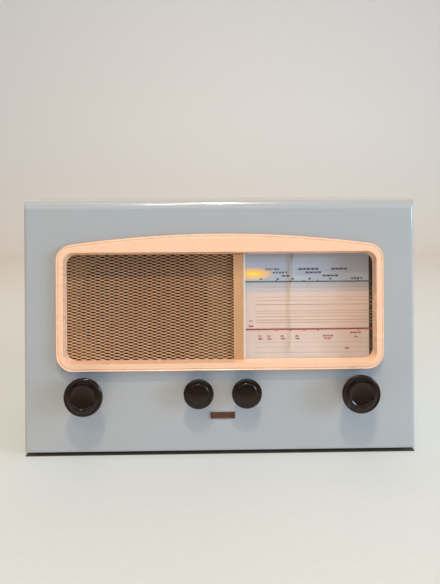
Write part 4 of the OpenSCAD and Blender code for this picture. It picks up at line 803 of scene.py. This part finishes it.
# The two small knobs, tone and wavechange: the same bakelite, with a gently
# domed face inside a shoulder cut in sixteen flats.
small_profile = (
    (0, 11.6), (3.05, 11.6), (3.05, 0.4), (3.5, 0), (9.8, 0), (10.5, 0.2), (11.1, 0.7), (11.4, 1.7),
    (11.5, 4), (12.5, 6.9), (14.6, 9.9), (16.2, 11.9), (17.2, 13.1), (17.5, 13.55), (17.6, 13.9),
    (17.2, 14.4), (14.6, 14.72), (13.5, 14.92), (12.7, 14.95), (12.3, 14.7), (11.9, 15.1), (11, 15.5),
    (8.5, 15.9), (5.5, 16.25), (2.8, 16.44), (0, 16.5))
flats = 16
flat_reach = 1 / math.cos(math.pi / flats)
wide_flat, narrow_flat = 0.0204 * flat_reach, 0.0081 * flat_reach
shoulder_deep, shoulder_forward, shoulder_radius = 0.0048, 0.015, 0.0141
shoulder_back = knob_back - 0.0136
for name, body in (("tone", "tone"), ("wave", "wavechange")):
    x, _, z = spindles[body]
    knob = turned(name + "_knob_moulding", x, z, small_profile)
    close_up(knob, 30)
    shoulder = begin("cone", name + "_flats", vertices=flats, radius1=wide_flat, radius2=narrow_flat,
                     depth=shoulder_deep, location=(x, knob_back - shoulder_forward, z),
                     rotation=facing_front)
    pick(shoulder, "faces", lambda at, way: way.y > 0.9)
    pull(0, 0.02, 0)
    close_up(shoulder, 5)
    cut_with(knob, shoulder, "INTERSECT")
    bpy.ops.object.shade_smooth_by_angle(angle=math.radians(22))
    bpy.ops.object.mode_set(mode="EDIT")
    pick(knob, "edges", lambda at, _: math.hypot(at.x - x, at.z - z) > shoulder_radius
         and at.y < shoulder_back)
    bpy.ops.mesh.mark_sharp()
    bpy.ops.object.mode_set(mode="OBJECT")
    fit(knob, bakelite, body, "bakelite", name + "_knob")


# The blank plate between the small knobs: etched copper with a raised border,
# held by two small pins.
(badge_left, _, badge_foot), (badge_right, _, badge_top) = box_of("blank_badge")
badge_x, badge_z = (badge_left + badge_right) / 2, (badge_foot + badge_top) / 2
badge_wide, badge_thick, badge_high = badge_right - badge_left, 0.0012, badge_top - badge_foot
pin_radius, pin_away, pin_y = 0.0008, 0.0123, panel_face - 0.00095
badge = begin("cube", "blank_copper_plate", (badge_wide, badge_thick, badge_high), size=1,
              location=(badge_x, panel_face - badge_thick / 2, badge_z))
pick(badge, "edges", lambda at, along: abs(along.y) > 0.001)
bpy.ops.mesh.bevel(offset=0.001, segments=4, profile=0.5)
pick(badge, "faces", lambda at, way: way.y < -0.9)
for step_in, step_out in ((0.00015, 0.0), (0.0005, 0.0), (0.0002, -0.0003)):
    bpy.ops.mesh.inset(thickness=step_in, depth=step_out)
close_up(badge, 35)
copper = finish("etched_copper", shade(104, 70, 50), shade(80, 55, 42), 0.4, patch_size=0.004,
                stretch=(0.6, 1, 1.4), metal=0.4, fineness=2400.0, relief=0.2, edge=shade(186, 140, 104),
                edge_width=0.0004)
fit(badge, copper, "cabinet", "copper_plate", "blank_badge")
for side, away in (("left", -pin_away), ("right", pin_away)):
    pin = begin("uv_sphere", "plate_pin_" + side, (1, 0.5, 1), segments=20, ring_count=12,
                radius=pin_radius, location=(badge_x + away, pin_y, badge_z))
    # the half inside the plate is taken off, and the cut is closed
    pick(pin, "faces", lambda at, way: at.y > pin_y + 0.00005)
    bpy.ops.mesh.delete(type="FACE")
    pick(pin, "verts", lambda at, _: at.y > pin_y - 0.00002)
    bpy.ops.mesh.edge_face_add()
    close_up(pin, 40)
    fit(pin, dull_steel, "cabinet", "dark_steel")


# The loudspeaker: a pressed basket on the baffle, a ring of felt under its
# rim, a round magnet, and a black paper cone. The cone's soft doped edge is
# glued to the basket's rim and gives way as the cone moves.
basket_grey = finish("basket_grey_paint", shade(92, 94, 96), shade(78, 80, 82), 0.45, patch_size=0.02,
                     metal=0.2, relief=0.08, edge=shade(100, 101, 102), dusty=0.3)
coat_nodes(basket_grey, "speaker_frame")
magnet_steel = finish("magnet_steel", shade(120, 121, 124), shade(96, 97, 100), 0.42, patch_size=0.01,
                      metal=0.85, relief=0.25, dusty=0.25)
coat_nodes(magnet_steel, "speaker_magnet")
coat_nodes(felt, "speaker_gasket")
coat_nodes(dull_steel, "speaker_bolts")
cone_paper = finish("cone_paper", shade(40, 33, 29), shade(50, 43, 37), 0.9, patch_size=0.004, relief=0.5,
                    fineness=1400.0)
coat_nodes(cone_paper, "speaker_cone")
(frame_left, rim_face, frame_foot), (frame_right, _, frame_top) = box_of("speaker_frame")
speaker_x, speaker_z = (frame_left + frame_right) / 2, (frame_foot + frame_top) / 2
rim_behind = (rim_face - knob_back) * 1000
# radius and depth behind the basket's rim, in mm
edge_profile = ((74, 2.4), (75.4, 1.9), (76.6, 1.9), (78, 1.2), (79, 1.2), (80.2, 0.2), (80.2, 0.7),
                (79, 1.7), (78, 1.7), (76.6, 2.4), (75.4, 2.4), (74, 3.2), (74, 2.4))
cone_edge = turned("doped_cone_edge", speaker_x, speaker_z,
                   [(radius, -rim_behind - deep) for radius, deep in edge_profile])
close_up(cone_edge, 40)
cone_edge.data.materials.clear()
cone_edge.data.materials.append(cone_paper)
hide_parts("cone_surround")
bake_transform(cone_edge)
bpy.ops.object.select_all(action="DESELECT")
coil_copper = finish("coil_copper", shade(178, 104, 62), shade(150, 82, 48), 0.35, patch_size=0.002,
                     stretch=(1, 12, 1), metal=1.0, fineness=2200.0, relief=0.3)
coat_nodes(coil_copper, "voice_coil")
core_iron = finish("core_iron", shade(78, 73, 68), shade(62, 57, 52), 0.5, patch_size=0.008,
                   stretch=(0.3, 6, 0.3), metal=0.5, fineness=1400.0, relief=0.45,
                   edge=shade(128, 122, 114), dusty=0.3)
coat_nodes(core_iron, "output_transformer", "power_transformer")


# The tuning drive: a waxed cord from the spindle round a drum and two idler
# pulleys pulls the pointer, and the drum turns the two-gang tuning capacitor.
waxed_cord = finish("waxed_cord", shade(184, 158, 116), shade(158, 132, 92), 0.9, patch_size=0.0008,
                    relief=0.5, fineness=5000.0)
coat_nodes(waxed_cord, "drive_cord")
turned_brass = finish("turned_brass", shade(206, 170, 98), shade(184, 148, 82), 0.3, patch_size=0.006,
                      metal=1.0, relief=0.08, edge=shade(236, 208, 140))
coat_nodes(turned_brass, "pulley_left", "pulley_right", "tuning_bush", "control_nuts")
drum_alloy = finish("pressed_aluminium", shade(190, 190, 190), shade(172, 172, 174), 0.36,
                    patch_size=0.012, metal=1.0, relief=0.12, dusty=0.2)
coat_nodes(drum_alloy, "drive_drum", "gang_stators", "gang_rotor", "coupling_cans", "smoothing_capacitor")
coat_nodes(bright_steel, "gang_frame")


# The chassis: a zinc-plated steel tray with the controls on its front apron,
# the transformer, valves and cans on its deck, and the small parts below.
plated_tray = finish("plated_chassis", shade(150, 148, 138), shade(124, 121, 110), 0.42, patch_size=0.03,
                     contrast=0.22, metal=0.85, fineness=1100.0, relief=0.12, edge=shade(186, 184, 176),
                     dusty=0.4)
coat_nodes(plated_tray, "chassis_tray")
coat_nodes(dull_steel, "volume_control", "tone_control")
brown_laminate = finish("brown_laminate", shade(112, 74, 46), shade(92, 60, 38), 0.5, patch_size=0.006,
                        stretch=(1, 1, 0.3), fineness=1000.0, relief=0.15, dusty=0.2)
coat_nodes(brown_laminate, "wave_switch", "valve_holders", "socket_strip", "aerial_coils", "tag_board")
coat_nodes(black_rubber, "mains_grommet")
valve_glass = finish("smoked_valve_glass", shade(60, 62, 64), shade(34, 34, 36), 0.08, patch_size=0.02,
                     relief=0.02, dusty=0.35, coat=0.6)
coat_nodes(valve_glass, "valves")


# The back: a sheet of brown hardboard with rows of vent slots, screwed to the
# rear flange of the case, with windows for the sockets and the mains lead.
hardboard = finish("hardboard", shade(122, 90, 60), shade(100, 73, 49), 0.72, patch_size=0.005,
                   stretch=(0.5, 1, 1), fineness=620.0, relief=0.5, edge=shade(162, 128, 92),
                   edge_width=0.0009, dusty=0.12)
coat_nodes(hardboard, "rear_cover")
coat_nodes(bright_steel, "rear_cover_screws")

bpy.context.view_layer.update()
